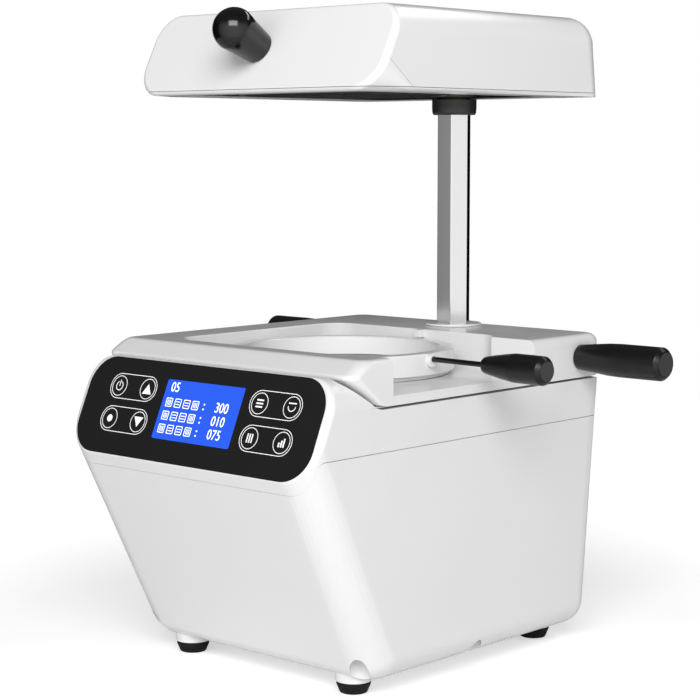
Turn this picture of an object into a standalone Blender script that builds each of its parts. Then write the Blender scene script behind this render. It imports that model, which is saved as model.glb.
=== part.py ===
"""A bench-top vacuum packing and forming machine, in metres, with +Z up and the front at -Y.

A boxy base holds the vacuum blower and the controls. A hexagonal column stands at its rear. A film
carriage with a clamp ring slides on the column, and a heater head swings on the column's top.
The origin is on the bench surface, under the middle of the whole machine.
"""

import math

import bmesh
import bpy
from mathutils import Matrix, Vector

# Driving dimensions
HALF_WIDTH = 0.1145
BASE_REAR = 0.150
BASE_BOTTOM = 0.0115
DECK_Z = 0.1903
PANEL_TOP_Z = 0.2123
COLUMN_Y = 0.124
RING_Y = 0.0035
WALL = 0.0028
GAP = 0.0003

# Base
SLOPE = math.radians(26.0)
SLOPE_Y, SLOPE_Z = -0.1465, 0.141
PANEL_TILT = math.radians(23.6)
PANEL_BASE_Y, PANEL_BASE_Z = -0.1512, 0.1502
PANEL_WIDTH, PANEL_HEIGHT, PANEL_CORNER = 0.2194, 0.0678, 0.0215
PANEL_DEPTH = 0.0012
FRONT_CORNER, REAR_CORNER = 0.024, 0.014
BOTTOM_ROUND, TOP_ROUND = 0.018, 0.021
DRAFT, REAR_DRAFT = 0.0049, 0.0016
SEAM_GAP = 0.0006
SIDE_SEAM_Z = 0.163
SIDE_SEAM_Y = -0.140
LCD_WIDTH, LCD_HEIGHT = 0.072, 0.0402
LCD_CENTRE = (0.0020, 0.0020)
FEET = {
    "front_left": (-0.0765, -0.0696),
    "front_right": (0.0765, -0.0696),
    "rear_left": (-0.0765, 0.124),
    "rear_right": (0.0765, 0.124),
}
FOOT_RADIUS, FOOT_HEIGHT = 0.0115, 0.0075

# Rear wall fittings
INLET_X, INLET_Z = -0.060, 0.060
INLET_HALF = (0.0137, 0.0102)
SWITCH_X, SWITCH_Z = -0.060, 0.096
SWITCH_HALF = (0.0107, 0.0139)
FLANGE = 0.0023
ROCKER_AXIS_Y = 0.1459
VENT_X, VENT_Z = 0.046, 0.115

# Carriage
CARRIAGE_TOP = 0.222
CARRIAGE_HALF, CARRIAGE_REAR = 0.1150, 0.1510
CARRIAGE_ROUND, CARRIAGE_FRONT_CORNER, CARRIAGE_REAR_CORNER = 0.006, 0.009, 0.010
FLOOR_Z = 0.198
RECESS_HALF, RECESS_FRONT, RECESS_REAR = 0.079, -0.084, 0.0822
NOTCH_FRONT, NOTCH_REAR = -0.0748, 0.0714
FILM_HOLE = 0.070
PLATEN_Z = 0.1936
RING_OUTER, RING_INNER = 0.0775, 0.0662
RING_BOTTOM, RING_TOP = 0.2042, 0.2158
LEVER_X, LEVER_Y, LEVER_Z = 0.079, 0.0055, 0.2120
LEVER_ANGLE = math.radians(-3.0)
GRIP_START, GRIP_END = 0.126, 0.1785
HANDLE_Y, HANDLE_Z = COLUMN_Y, 0.2065
HANDLE_END = 0.1865

# Column and head
COLUMN_FLATS = 0.0222
COLUMN_BOTTOM, COLUMN_TOP = 0.0202, 0.3838
COLLAR_BOTTOM, COLLAR_TOP, COLLAR_RADIUS = 0.3763, 0.3877, 0.0163
HEAD_BOTTOM, HEAD_TOP = 0.388, 0.4432
HEAD_HALF, HEAD_REAR = 0.1117, 0.1530
HEAD_TILT = math.radians(26.8)
HEAD_FACE_Y = -0.0890
HEAD_LOWER_CORNER, HEAD_TOP_ROUND, HEAD_REAR_ROUND = 0.022, 0.020, 0.022
FACET_Y = -0.0527
HEAD_SEAM_Z = 0.3906
HEAD_TRAY_FRONT, HEAD_TRAY_REAR = -0.0720, 0.1430
HEATER_RADIUS = 0.072
KNOB_X, KNOB_HEIGHT = -0.0034, 0.4175


def clear_scene():
    for item in list(bpy.data.objects):
        bpy.data.objects.remove(item)


def material(name, color, roughness, metallic=0.0):
    made = bpy.data.materials.get(name)
    if made is None:
        made = bpy.data.materials.new(name)
        made.use_nodes = True
        shader = made.node_tree.nodes["Principled BSDF"]
        shader.inputs["Base Color"].default_value = (*color, 1.0)
        shader.inputs["Roughness"].default_value = roughness
        shader.inputs["Metallic"].default_value = metallic
    return made


def white_plastic():
    return material("white_plastic", (0.82, 0.82, 0.82), 0.35)


def black_plastic():
    return material("black_plastic", (0.012, 0.012, 0.012), 0.35)


def dark_steel():
    return material("dark_steel", (0.05, 0.05, 0.055), 0.4, 0.6)


def aluminium():
    return material("satin_aluminium", (0.62, 0.62, 0.63), 0.32, 1.0)


def steel():
    return material("zinc_steel", (0.55, 0.56, 0.58), 0.35, 1.0)


def rubber():
    return material("black_rubber", (0.02, 0.02, 0.02), 0.75)


def circuit_board():
    return material("circuit_board", (0.02, 0.16, 0.07), 0.5)


def finish_mesh(name, mesh, surface, sharp=30.0):
    """Makes the object of a mesh, shaded smooth except over its sharp edges."""
    mesh.materials.append(surface)
    mesh.shade_smooth()
    mesh.set_sharp_from_angle(angle=math.radians(sharp))
    made = bpy.data.objects.new(name, mesh)
    bpy.context.scene.collection.objects.link(made)
    return made


def mesh_from(name, build):
    """A mesh whose faces all point out, from a function that fills a bmesh."""
    work = bmesh.new()
    build(work)
    bmesh.ops.recalc_face_normals(work, faces=work.faces)
    mesh = bpy.data.meshes.new(name)
    work.to_mesh(mesh)
    work.free()
    return mesh


def loft(name, rings, surface):
    """A closed solid through closed rings of points, all with the same count, bottom to top."""

    def build(work):
        loops = [[work.verts.new(point) for point in ring] for ring in rings]
        count = len(loops[0])
        for lower, upper in zip(loops, loops[1:]):
            for i in range(count):
                j = (i + 1) % count
                work.faces.new((lower[i], lower[j], upper[j], upper[i]))
        work.faces.new(list(reversed(loops[0])))
        work.faces.new(loops[-1])

    return finish_mesh(name, mesh_from(name, build), surface)


def rounded(corners, segments=5):
    """A closed outline of (x, y, radius) corners, each rounded with an arc of its radius."""
    points = []
    count = len(corners)
    for i, (x, y, radius) in enumerate(corners):
        here = Vector((x, y))
        if radius == 0:
            points.append((x, y))
            continue
        before = (Vector(corners[i - 1][:2]) - here).normalized()
        after = (Vector(corners[(i + 1) % count][:2]) - here).normalized()
        half_angle = before.angle(after) / 2
        centre = here + (before + after).normalized() * radius / math.sin(half_angle)
        start = here + before * radius / math.tan(half_angle) - centre
        end = here + after * radius / math.tan(half_angle) - centre
        sweep = math.pi - 2 * half_angle
        turn = 1 if start.x * end.y - start.y * end.x > 0 else -1
        for k in range(segments + 1):
            angle = turn * sweep * k / segments
            spoke = Matrix.Rotation(angle, 2) @ start
            points.append((centre.x + spoke.x, centre.y + spoke.y))
    return points


def rectangle(half_x, half_y, radius, centre=(0.0, 0.0)):
    """The corners of a rounded rectangle, for rounded()."""
    x, y = centre
    signs = ((-1, -1), (1, -1), (1, 1), (-1, 1))
    return [(x + sx * half_x, y + sy * half_y, radius) for sx, sy in signs]


def prism(name, outline, low, high, surface, along="Z"):
    """An outline carried from low to high along Z, or, with (y, z) points, along X."""
    place = (lambda a, b, t: (t, a, b)) if along == "X" else (lambda a, b, t: (a, b, t))
    return loft(name, [[place(a, b, t) for a, b in outline] for t in (low, high)], surface)


def box(name, low, high, surface):
    outline = [(low[0], low[1]), (high[0], low[1]), (high[0], high[1]), (low[0], high[1])]
    return prism(name, outline, low[2], high[2], surface)


def circle(radius, count, centre=(0.0, 0.0), phase=0.0):
    angles = [phase + 2 * math.pi * i / count for i in range(count)]
    return [(centre[0] + radius * math.cos(a), centre[1] + radius * math.sin(a)) for a in angles]


def turned(name, profile, surface, centre=(0.0, 0.0, 0.0), segments=32, along="Z"):
    """A profile of (radius, height) points turned about an axis. A profile that starts and ends on
    the axis makes a solid, and any other profile is closed into a ring."""
    on_axis = profile[0][0] == 0
    body = profile[1:-1] if on_axis else profile

    def build(work):
        loops = []
        for radius, height in body:
            loops.append([work.verts.new((x, y, height)) for x, y in circle(radius, segments)])
        pairs = list(zip(loops, loops[1:]))
        if not on_axis:
            pairs.append((loops[-1], loops[0]))
        for lower, upper in pairs:
            for i in range(segments):
                j = (i + 1) % segments
                work.faces.new((lower[i], lower[j], upper[j], upper[i]))
        if on_axis:
            work.faces.new(list(reversed(loops[0])))
            work.faces.new(loops[-1])

    mesh = mesh_from(name, build)
    turn = Matrix.Rotation(math.pi / 2, 4, "Y") if along == "X" else Matrix()
    mesh.transform(Matrix.Translation(centre) @ turn)
    return finish_mesh(name, mesh, surface)


def tube(name, outer, inner, low, high, surface, centre=(0.0, 0.0), segments=32):
    profile = [(inner, low), (outer, low), (outer, high), (inner, high)]
    return turned(name, profile, surface, (*centre, 0.0), segments)


def rod(name, radius, low, high, surface, centre=(0.0, 0.0), segments=24, along="Z"):
    """A solid cylinder. Its centre is (x, y) along Z, or (y, z) along X."""
    profile = [(0.0, low), (radius, low), (radius, high), (0.0, high)]
    place = (0.0, *centre) if along == "X" else (*centre, 0.0)
    return turned(name, profile, surface, place, segments, along)


def upright_box(name, x, z, half_x, half_z, front, rear, surface):
    """A box centred on (x, z), from y = front to y = rear."""
    return box(name, (x - half_x, front, z - half_z), (x + half_x, rear, z + half_z), surface)


def combine(target, tools, operation="DIFFERENCE"):
    """Cuts the target with each tool, or joins them, and hides the tools."""
    for tool in tools:
        tool.hide_render = True
        tool.display_type = "WIRE"
        step = target.modifiers.new(tool.name, "BOOLEAN")
        step.operation = operation
        step.object = tool
    return target


def tilted(piece, centre, tilt):
    """Lays a piece made on the XY plane onto a face that leans back by tilt from the vertical."""
    piece.location = centre
    piece.rotation_euler = (math.pi / 2 - tilt, 0.0, 0.0)
    return piece


def slope_y(z):
    """The sloping front of the base below the panel, with its round foot."""
    straight = SLOPE_Y - (z - SLOPE_Z) * math.tan(SLOPE)
    centre_z = BASE_BOTTOM + BOTTOM_ROUND
    centre_y = SLOPE_Y - (centre_z - SLOPE_Z) * math.tan(SLOPE) + BOTTOM_ROUND / math.cos(SLOPE)
    if z > centre_z - BOTTOM_ROUND * math.sin(SLOPE):
        return straight
    return centre_y - math.sqrt(max(BOTTOM_ROUND**2 - (centre_z - z) ** 2, 0.0))


def panel_y(z):
    return PANEL_BASE_Y + (z - PANEL_BASE_Z) * math.tan(PANEL_TILT)


def rear_y(z):
    """The outer face of the tub's rear wall."""
    return BASE_REAR - REAR_DRAFT * (SIDE_SEAM_Z - z) / SIDE_SEAM_Z


def quarter_inset(distance, radius):
    """How far a quarter round has drawn in, at a distance inside its tangent point."""
    reach = min(max(distance, 0.0), radius)
    return radius - math.sqrt(radius**2 - reach**2)


def base_ring(z, wall=0.0, arc=5):
    """The outline of the base at height z, drawn in by wall."""
    level = z if wall == 0 else max(z - wall, BASE_BOTTOM)
    foot = quarter_inset(BASE_BOTTOM + BOTTOM_ROUND - level, BOTTOM_ROUND)
    brow = quarter_inset(min(z + wall, PANEL_TOP_Z) - (PANEL_TOP_Z - TOP_ROUND), TOP_ROUND)
    below = max(SIDE_SEAM_Z - z, 0.0) / SIDE_SEAM_Z
    half = HALF_WIDTH - foot - brow - DRAFT * below - wall
    rear = BASE_REAR - foot - REAR_DRAFT * below - wall
    slope = slope_y(level) + wall / math.cos(SLOPE)
    face = panel_y(z) + wall / math.cos(PANEL_TILT)
    front = max(slope, face)
    corner_x = max(FRONT_CORNER - foot - wall, 0.004)
    corner_y = corner_x / math.cos(SLOPE)
    reach = min(max((slope + corner_y - front) / corner_y, 0.0), 1.0)
    start = math.acos(reach)
    right = []
    for k in range(arc + 1):
        if front > slope + corner_y * 0.985:
            right.append((half, front + 0.0016 * k))
        else:
            angle = start + (math.pi / 2 - start) * k / arc
            x = half - corner_x + corner_x * math.sin(angle)
            right.append((x, slope + corner_y - corner_y * math.cos(angle)))
    radius = max(REAR_CORNER - foot / 2 - wall, 0.003)
    for k in range(arc + 1):
        angle = math.pi / 2 * k / arc
        right.append((half - radius + radius * math.cos(angle), rear - radius + radius * math.sin(angle)))
    left = [(-x, y) for x, y in reversed(right)]
    return [(x, y, z) for x, y in right + left]


def base_levels(low, high):
    """Heights for the base's rings: close together where its outline bends."""
    foot = [BASE_BOTTOM + BOTTOM_ROUND * (1 - math.cos(math.radians(a))) for a in (0, 20, 40, 60, 90)]
    corner = [PANEL_BASE_Z - 0.0012 + step for step in (0, 0.0025, 0.007, 0.013, 0.020, 0.0275)]
    brow = [PANEL_TOP_Z - TOP_ROUND * (1 - math.sin(math.radians(a))) for a in (0, 22, 42, 60, 75, 90)]
    inside = [z for z in foot + corner + brow if low + 0.0005 < z < high - 0.0005]
    return [low] + inside + [high]


def base_solid(name, surface, wall=0.0, low=BASE_BOTTOM, high=PANEL_TOP_Z):
    return loft(name, [base_ring(z, wall) for z in base_levels(low, high)], surface)


def above_seam(name, shift, surface):
    """The space above the joint: it follows the panel down at the front and is level behind."""
    front = SLOPE_Y - 0.0037
    outline = [
        (front - 0.040, SLOPE_Z + shift),
        (SLOPE_Y + 0.001, SLOPE_Z + shift),
        (SIDE_SEAM_Y, SIDE_SEAM_Z + shift),
        (0.200, SIDE_SEAM_Z + shift),
        (0.200, 0.260),
        (front - 0.040, 0.260),
    ]
    return prism(name, outline, -0.150, 0.150, surface, "X")


def below_seam(name, shift, surface):
    front = SLOPE_Y - 0.0437
    outline = [
        (front, -0.050),
        (0.200, -0.050),
        (0.200, SIDE_SEAM_Z + shift),
        (SIDE_SEAM_Y, SIDE_SEAM_Z + shift),
        (SLOPE_Y + 0.001, SLOPE_Z + shift),
        (front, SLOPE_Z + shift),
    ]
    return prism(name, outline, -0.150, 0.150, surface, "X")


def carriage_space(name, surface, wall=0.0):
    """What the carriage takes from the top of the base: a level deck that rises at the front."""
    corners = [
        (0.200, DECK_Z, 0),
        (-0.0880, DECK_Z, 0.010),
        (-0.1160, 0.2098, 0.006),
        (-0.1180, 0.2150, 0),
        (-0.1180, 0.260, 0),
        (0.200, 0.260, 0),
    ]
    outline = rounded([(y - 0.6 * wall, z - wall, radius) for y, z, radius in corners], 4)
    return prism(name, outline, -0.150, 0.150, surface, "X")


def panel_centre():
    half = PANEL_HEIGHT / 2
    y = PANEL_BASE_Y + half * math.sin(PANEL_TILT)
    z = PANEL_BASE_Z + half * math.cos(PANEL_TILT)
    return (0.0, y, z)


def panel_prism(name, half_x, half_y, radius, low, high, surface, centre=(0.0, 0.0)):
    outline = rounded(rectangle(half_x, half_y, radius, centre), 6)
    return tilted(prism(name, outline, low, high, surface), panel_centre(), PANEL_TILT)


def base_tub():
    surface = white_plastic()
    tub = base_solid("base_tub", surface)
    inner = base_solid("tub_inner_cutter", surface, WALL, BASE_BOTTOM + WALL, 0.200)
    cutters = [inner, above_seam("tub_top_cutter", 0.0, surface)]
    cutters += rear_cutters(surface)
    bosses = []
    for corner, (x, y) in FEET.items():
        bosses.append(rod("boss_" + corner, 0.0125, FOOT_HEIGHT + GAP, 0.026, surface, (x, y)))
        cutters.append(rod("screw_hole_" + corner, 0.0023, 0.0, 0.022, surface, (x, y), 12))
    cutters.append(rod("column_bolt_hole", 0.0045, 0.0, 0.030, surface, (0.0, COLUMN_Y), 16))
    combine(tub, cutters[:1])
    combine(tub, bosses, "UNION")
    combine(tub, cutters[1:])
    return tub


def rear_cutters(surface):
    """Holes in the rear wall: the mains inlet, the switch and the blower's outlet slots."""
    deep, far = BASE_REAR - 0.010, BASE_REAR + 0.010
    inlet_x, inlet_z = INLET_HALF
    switch_x, switch_z = SWITCH_HALF
    cutters = [
        upright_box("inlet_hole", INLET_X, INLET_Z, inlet_x + GAP, inlet_z + GAP, deep, far, surface),
        upright_box("switch_hole", SWITCH_X, SWITCH_Z, switch_x + GAP, switch_z + GAP, deep, far, surface),
    ]
    for row in range(5):
        z = VENT_Z + (row - 2) * 0.0055
        cutters.append(upright_box(f"vent_slot_{row}", VENT_X, z, 0.013, 0.0014, deep, far, surface))
    return cutters


def upper_housing():
    surface = white_plastic()
    housing = base_solid("upper_housing", surface)
    inner = base_solid("housing_inner_cutter", surface, WALL, 0.100, PANEL_TOP_Z - WALL)
    combine(inner, [carriage_space("inner_deck_cutter", surface, WALL)])
    half_x, half_y = PANEL_WIDTH / 2 + GAP, PANEL_HEIGHT / 2 + GAP
    lcd_x, lcd_y = LCD_WIDTH / 2 + 0.001, LCD_HEIGHT / 2 + 0.001
    cutters = [
        inner,
        below_seam("housing_bottom_cutter", SEAM_GAP, surface),
        carriage_space("carriage_space_cutter", surface),
        panel_prism("panel_pocket", half_x, half_y, PANEL_CORNER, -PANEL_DEPTH - GAP, 0.004, surface),
        panel_prism("lcd_window", lcd_x, lcd_y, 0.001, -0.020, 0.004, surface, LCD_CENTRE),
        rod("platen_hole", 0.0600, 0.150, 0.200, surface, (0.0, RING_Y), 48),
        rod("column_hole", 0.0150, 0.150, 0.200, surface, (0.0, COLUMN_Y)),
    ]
    return combine(housing, cutters)


def control_panel():
    """The black overlay with its window. The keys are printed on it and don't travel."""
    surface = material("panel_black", (0.015, 0.015, 0.015), 0.45)
    overlay = panel_prism(
        "control_panel", PANEL_WIDTH / 2, PANEL_HEIGHT / 2, PANEL_CORNER, -PANEL_DEPTH, 0.0, surface
    )
    lcd_x, lcd_y = LCD_WIDTH / 2 + GAP, LCD_HEIGHT / 2 + GAP
    window = panel_prism("overlay_window", lcd_x, lcd_y, 0.0005, -0.003, 0.002, surface, LCD_CENTRE)
    return combine(overlay, [window])


def lcd_module():
    surface = material("display_blue", (0.014, 0.09, 0.95), 0.15)
    lcd_x, lcd_y = LCD_WIDTH / 2, LCD_HEIGHT / 2
    face = panel_prism("lcd_module", lcd_x, lcd_y, 0.0004, -0.0090, -0.0003, surface, LCD_CENTRE)
    back = panel_prism("lcd_back", 0.042, 0.024, 0.001, -0.0110, -0.0046, surface, LCD_CENTRE)
    return combine(face, [back], "UNION")


def control_board():
    surface = circuit_board()
    board = panel_prism("control_board", 0.092, 0.0250, 0.002, -0.0132, -0.0116, surface)
    chip = panel_prism("processor", 0.009, 0.009, 0.0005, -0.0155, -0.0126, surface, (0.010, 0.0))
    plug = panel_prism("board_plug", 0.012, 0.004, 0.0005, -0.0200, -0.0126, surface, (-0.050, -0.008))
    return combine(board, [chip, plug], "UNION")


def vacuum_table():
    """The perforated platen on the deck, the seal round it and the chamber under it."""
    alloy = aluminium()
    centre = (0.0, RING_Y, 0.0)
    profile = [
        (0.0, 0.1880), (0.0588, 0.1880), (0.0588, DECK_Z + GAP), (0.0630, DECK_Z + GAP),
        (0.0630, PLATEN_Z), (0.0, PLATEN_Z),
    ]
    platen = turned("vacuum_platen", profile, alloy, centre, 48)
    holes = []
    for ring, count in ((0.0, 1), (0.018, 6), (0.036, 12)):
        for x, y in circle(ring, count, (0.0, RING_Y)):
            holes.append((x, y))

    def build(work):
        for x, y in holes:
            drill = circle(0.0015, 6, (x, y))
            loops = [[work.verts.new((a, b, z)) for a, b in drill] for z in (0.180, 0.200)]
            for i in range(6):
                j = (i + 1) % 6
                work.faces.new((loops[0][i], loops[0][j], loops[1][j], loops[1][i]))
            work.faces.new(list(reversed(loops[0])))
            work.faces.new(loops[1])

    drills = finish_mesh("platen_drills", mesh_from("platen_drills", build), alloy)
    combine(platen, [drills])
    tube("platen_seal", 0.0672, 0.0634, DECK_Z + GAP, PLATEN_Z + 0.0012, rubber(), (0.0, RING_Y), 48)
    cup = [
        (0.0145, 0.1500), (0.0560, 0.1500), (0.0560, 0.1872),
        (0.0530, 0.1872), (0.0530, 0.1530), (0.0145, 0.1530),
    ]
    turned("vacuum_chamber", cup, black_plastic(), centre, 40)


def blower():
    """The blower under the chamber: its housing, impeller and motor, and the duct to the rear wall."""
    centre = (0.0, RING_Y, 0.0)
    dark = black_plastic()
    can = [
        (0.0060, 0.0960), (0.0550, 0.0960), (0.0550, 0.1496), (0.0145, 0.1496),
        (0.0145, 0.1468), (0.0522, 0.1468), (0.0522, 0.0988), (0.0060, 0.0988),
    ]
    housing = turned("blower_housing", can, dark, centre, 40)
    spout = box("blower_spout", (0.031, 0.030, 0.100), (0.061, 0.062, 0.130), dark)
    inside = rod("blower_inside_cutter", 0.0522, 0.0988, 0.1468, dark, (0.0, RING_Y), 40)
    bore = box("spout_bore", (0.033, 0.020, 0.102), (0.059, 0.070, 0.128), dark)
    combine(housing, [spout], "UNION")
    combine(housing, [inside, bore])

    alloy = aluminium()
    hub = [
        (0.0, 0.0940), (0.0040, 0.0940), (0.0040, 0.1050), (0.0450, 0.1050),
        (0.0450, 0.1072), (0.0100, 0.1085), (0.0100, 0.1250), (0.0, 0.1250),
    ]
    impeller = turned("blower_impeller", hub, alloy, centre, 32)
    blades = []
    for k in range(8):
        blade = box(f"impeller_blade_{k}", (0.0080, -0.0008, 0.1055), (0.0440, 0.0008, 0.1300), alloy)
        blade.rotation_euler = (0.0, 0.0, 2 * math.pi * k / 8)
        blade.location = centre
        blades.append(blade)
    combine(impeller, blades, "UNION")

    motor_profile = [
        (0.0045, 0.0410), (0.0300, 0.0410), (0.0320, 0.0430),
        (0.0320, 0.0937), (0.0300, 0.0957), (0.0045, 0.0957),
    ]
    turned("blower_motor", motor_profile, steel(), centre, 32)
    rod("motor_mount", 0.0340, BASE_BOTTOM + WALL + GAP, 0.0407, rubber(), (0.0, RING_Y), 32)

    duct = box("exhaust_duct", (0.031, 0.0623, 0.100), (0.061, rear_y(0.100) - WALL - GAP, 0.130), dark)
    hollow = box("duct_bore", (0.033, 0.050, 0.102), (0.059, BASE_REAR, 0.128), dark)
    combine(duct, [hollow])


def power_parts():
    """The power board, the mains inlet and the rear switch."""
    board_surface = circuit_board()
    floor = BASE_BOTTOM + WALL
    board = box("power_board", (-0.096, 0.020, 0.028), (-0.044, 0.124, 0.0296), board_surface)
    legs = [
        box("transformer", (-0.092, 0.030, 0.029), (-0.058, 0.064, 0.056), board_surface),
        box("heat_sink", (-0.092, 0.086, 0.029), (-0.084, 0.120, 0.049), board_surface),
        rod("capacitor", 0.008, 0.029, 0.052, board_surface, (-0.066, 0.084), 16),
    ]
    for x, y in ((-0.085, 0.025), (-0.049, 0.025), (-0.085, 0.100), (-0.049, 0.100)):
        legs.append(rod(f"standoff_{x}_{y}", 0.003, floor + GAP, 0.0285, board_surface, (x, y), 12))
    combine(board, legs, "UNION")

    dark = black_plastic()
    half_x, half_z = INLET_HALF
    face, back = 0.1515, rear_y(SWITCH_Z + SWITCH_HALF[1]) + GAP
    wide, tall = half_x + FLANGE, half_z + FLANGE
    inlet = upright_box("mains_inlet", INLET_X, INLET_Z, wide, tall, back, face, dark)
    shell = upright_box("inlet_shell", INLET_X, INLET_Z, half_x, half_z, 0.1280, face - 0.0005, dark)
    socket = upright_box("inlet_socket", INLET_X, INLET_Z, 0.0120, 0.0083, 0.1350, 0.1600, dark)
    pins = []
    for right, up in ((-0.007, -0.0015), (0.0, 0.0025), (0.007, -0.0015)):
        pin = (INLET_X + right, INLET_Z + up, 0.0010, 0.0022, 0.1300, 0.1460)
        pins.append(upright_box(f"inlet_pin_{right}", *pin, dark))
    combine(inlet, [shell], "UNION")
    combine(inlet, [socket])
    combine(inlet, pins, "UNION")

    half_x, half_z = SWITCH_HALF
    wide, tall = half_x + FLANGE, half_z + FLANGE
    body = upright_box("switch_body", SWITCH_X, SWITCH_Z, wide, tall, back, face, dark)
    block = upright_box("switch_block", SWITCH_X, SWITCH_Z, half_x, half_z, 0.1300, face - 0.0005, dark)
    pocket = upright_box("switch_pocket", SWITCH_X, SWITCH_Z, 0.0088, 0.0122, 0.1400, 0.1600, dark)
    combine(body, [block], "UNION")
    combine(body, [pocket])

    outline = [(-0.0040, 0.0108), (-0.0023, -0.0108), (0.0050, -0.0108), (0.0053, 0.0), (0.0027, 0.0108)]
    rocker = prism("power_rocker", outline, -0.0084, 0.0084, dark, "X")
    rocker.location = (SWITCH_X, ROCKER_AXIS_Y, SWITCH_Z)


def feet():
    for corner, (x, y) in FEET.items():
        profile = [
            (0.0052, 0.0), (0.0090, 0.0), (FOOT_RADIUS, FOOT_HEIGHT),
            (0.0026, FOOT_HEIGHT), (0.0026, 0.0045), (0.0052, 0.0045),
        ]
        turned("foot_" + corner, profile, rubber(), (x, y, 0.0), 24)
        screw = [
            (0.0, 0.0016), (0.0048, 0.0020), (0.0048, 0.0042),
            (0.0020, 0.0042), (0.0020, 0.0210), (0.0, 0.0210),
        ]
        turned("foot_screw_" + corner, screw, steel(), (x, y, 0.0), 12)


def column_parts():
    """The hexagonal column, its socket on the floor of the tub, and the pivot on its top."""
    alloy = aluminium()
    hexagon = circle(COLUMN_FLATS / math.sqrt(3), 6, (0.0, COLUMN_Y), 0.0)
    column = prism("column", hexagon, COLUMN_BOTTOM, COLUMN_TOP, alloy)
    drill_low = rod("column_low_drill", 0.0043, 0.000, 0.052, alloy, (0.0, COLUMN_Y), 12)
    drill_high = rod("column_high_drill", 0.0043, 0.350, 0.400, alloy, (0.0, COLUMN_Y), 12)
    combine(column, [drill_low, drill_high])

    floor = BASE_BOTTOM + WALL + GAP
    cast = dark_steel()
    plate = rounded(rectangle(0.030, 0.0140, 0.005, (0.0, COLUMN_Y - 0.0125)), 3)
    flange = prism("column_socket", plate, floor, 0.0196, cast)
    sleeve = rod("socket_sleeve", 0.0155, 0.0192, 0.0720, cast, (0.0, COLUMN_Y), 32)
    wide = circle((COLUMN_FLATS + 2 * GAP) / math.sqrt(3), 6, (0.0, COLUMN_Y))
    hollow = prism("socket_hollow", wide, 0.0198, 0.100, cast)
    through = rod("socket_hole", 0.0043, 0.000, 0.030, cast, (0.0, COLUMN_Y), 16)
    combine(flange, [sleeve], "UNION")
    combine(flange, [hollow, through])
    under = BASE_BOTTOM - GAP
    bolt = [
        (0.0, 0.0055), (0.0070, 0.0055), (0.0070, under),
        (0.0040, under), (0.0040, 0.0500), (0.0, 0.0500),
    ]
    turned("column_bolt", bolt, steel(), (0.0, COLUMN_Y, 0.0), 16)

    centre = (0.0, COLUMN_Y, 0.0)
    pin = [
        (0.0, 0.3600), (0.0040, 0.3600), (0.0040, COLUMN_TOP + GAP), (0.0126, COLUMN_TOP + GAP),
        (0.0126, 0.3858), (0.0080, 0.3858), (0.0080, 0.4280),
        (0.0045, 0.4280), (0.0045, 0.4380), (0.0, 0.4380),
    ]
    turned("pivot_pin", pin, steel(), centre, 32)
    nut = prism("pivot_nut", circle(0.0080, 6, (0.0, COLUMN_Y)), 0.4300, 0.4370, steel())
    combine(nut, [rod("nut_hole", 0.0048, 0.420, 0.445, steel(), (0.0, COLUMN_Y), 16)])


# The carriage's nose, seen from the side: (z, y) from its underside to its top
CARRIAGE_FRONT = [
    (0.1920, -0.0840), (0.1928, -0.0880), (0.1945, -0.0915), (0.2090, -0.1118),
    (0.2100, -0.1132), (0.2112, -0.1138), (0.2126, -0.1132), (0.2180, -0.1064),
    (0.2204, -0.1028), (0.2215, -0.1004), (CARRIAGE_TOP, -0.0975),
]


def carriage_ring(z, front, arc=4):
    inset = quarter_inset(z - (CARRIAGE_TOP - CARRIAGE_ROUND), CARRIAGE_ROUND)
    half, rear = CARRIAGE_HALF - inset, CARRIAGE_REAR - inset
    corners = [(CARRIAGE_FRONT_CORNER - inset / 3, -1), (CARRIAGE_REAR_CORNER - inset / 2, 1)]
    right = []
    for radius, side in corners:
        edge = front if side < 0 else rear
        for k in range(arc + 1):
            angle = math.pi / 2 * (k / arc if side > 0 else k / arc - 1)
            x = half - radius + radius * math.cos(angle)
            right.append((x, edge - side * radius + radius * math.sin(angle)))
    left = [(-x, y) for x, y in reversed(right)]
    return [(x, y, z) for x, y in right + left]


def carriage():
    """The film carriage: a frame with a recess for the clamp ring, open at the right for the lever."""
    surface = white_plastic()
    body = loft("carriage", [carriage_ring(z, front) for z, front in CARRIAGE_FRONT], surface)
    middle = (RECESS_FRONT + RECESS_REAR) / 2
    depth = (RECESS_REAR - RECESS_FRONT) / 2
    outline = rounded(rectangle(RECESS_HALF, depth, 0.018, (0.0, middle)), 6)
    recess = prism("recess_cutter", outline, FLOOR_Z, 0.240, surface)
    notch = box("notch_cutter", (0.060, NOTCH_FRONT, FLOOR_Z), (0.130, NOTCH_REAR, 0.240), surface)
    film = rod("film_hole_cutter", FILM_HOLE, 0.180, 0.210, surface, (0.0, RING_Y), 48)
    bore = rod("bushing_bore", 0.0160, 0.180, 0.230, surface, (0.0, COLUMN_Y), 32)
    pockets = [
        box("rear_left_pocket", (-0.1105, 0.0870, 0.180), (-0.0240, 0.1440, 0.2190), surface),
        box("rear_right_pocket", (0.0240, 0.0870, 0.180), (0.1105, 0.1440, 0.2190), surface),
        box("left_pocket", (-0.1105, -0.0790, 0.180), (-0.0830, 0.0790, 0.2190), surface),
    ]
    studs = []
    for side in (-1, 1):
        low, high = sorted((side * 0.100, side * 0.130))
        studs.append(rod(f"stud_hole_{side}", 0.0043, low, high, surface, (HANDLE_Y, HANDLE_Z), 12, "X"))
    lug_low, lug_high = RING_TOP + 0.0006, CARRIAGE_TOP - 0.0006
    lug = box("ring_lug", (0.0020, 0.0745, lug_low), (0.0075, 0.0840, lug_high), surface)
    combine(body, [recess, notch, film, bore] + pockets + studs)
    combine(body, [lug], "UNION")


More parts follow.
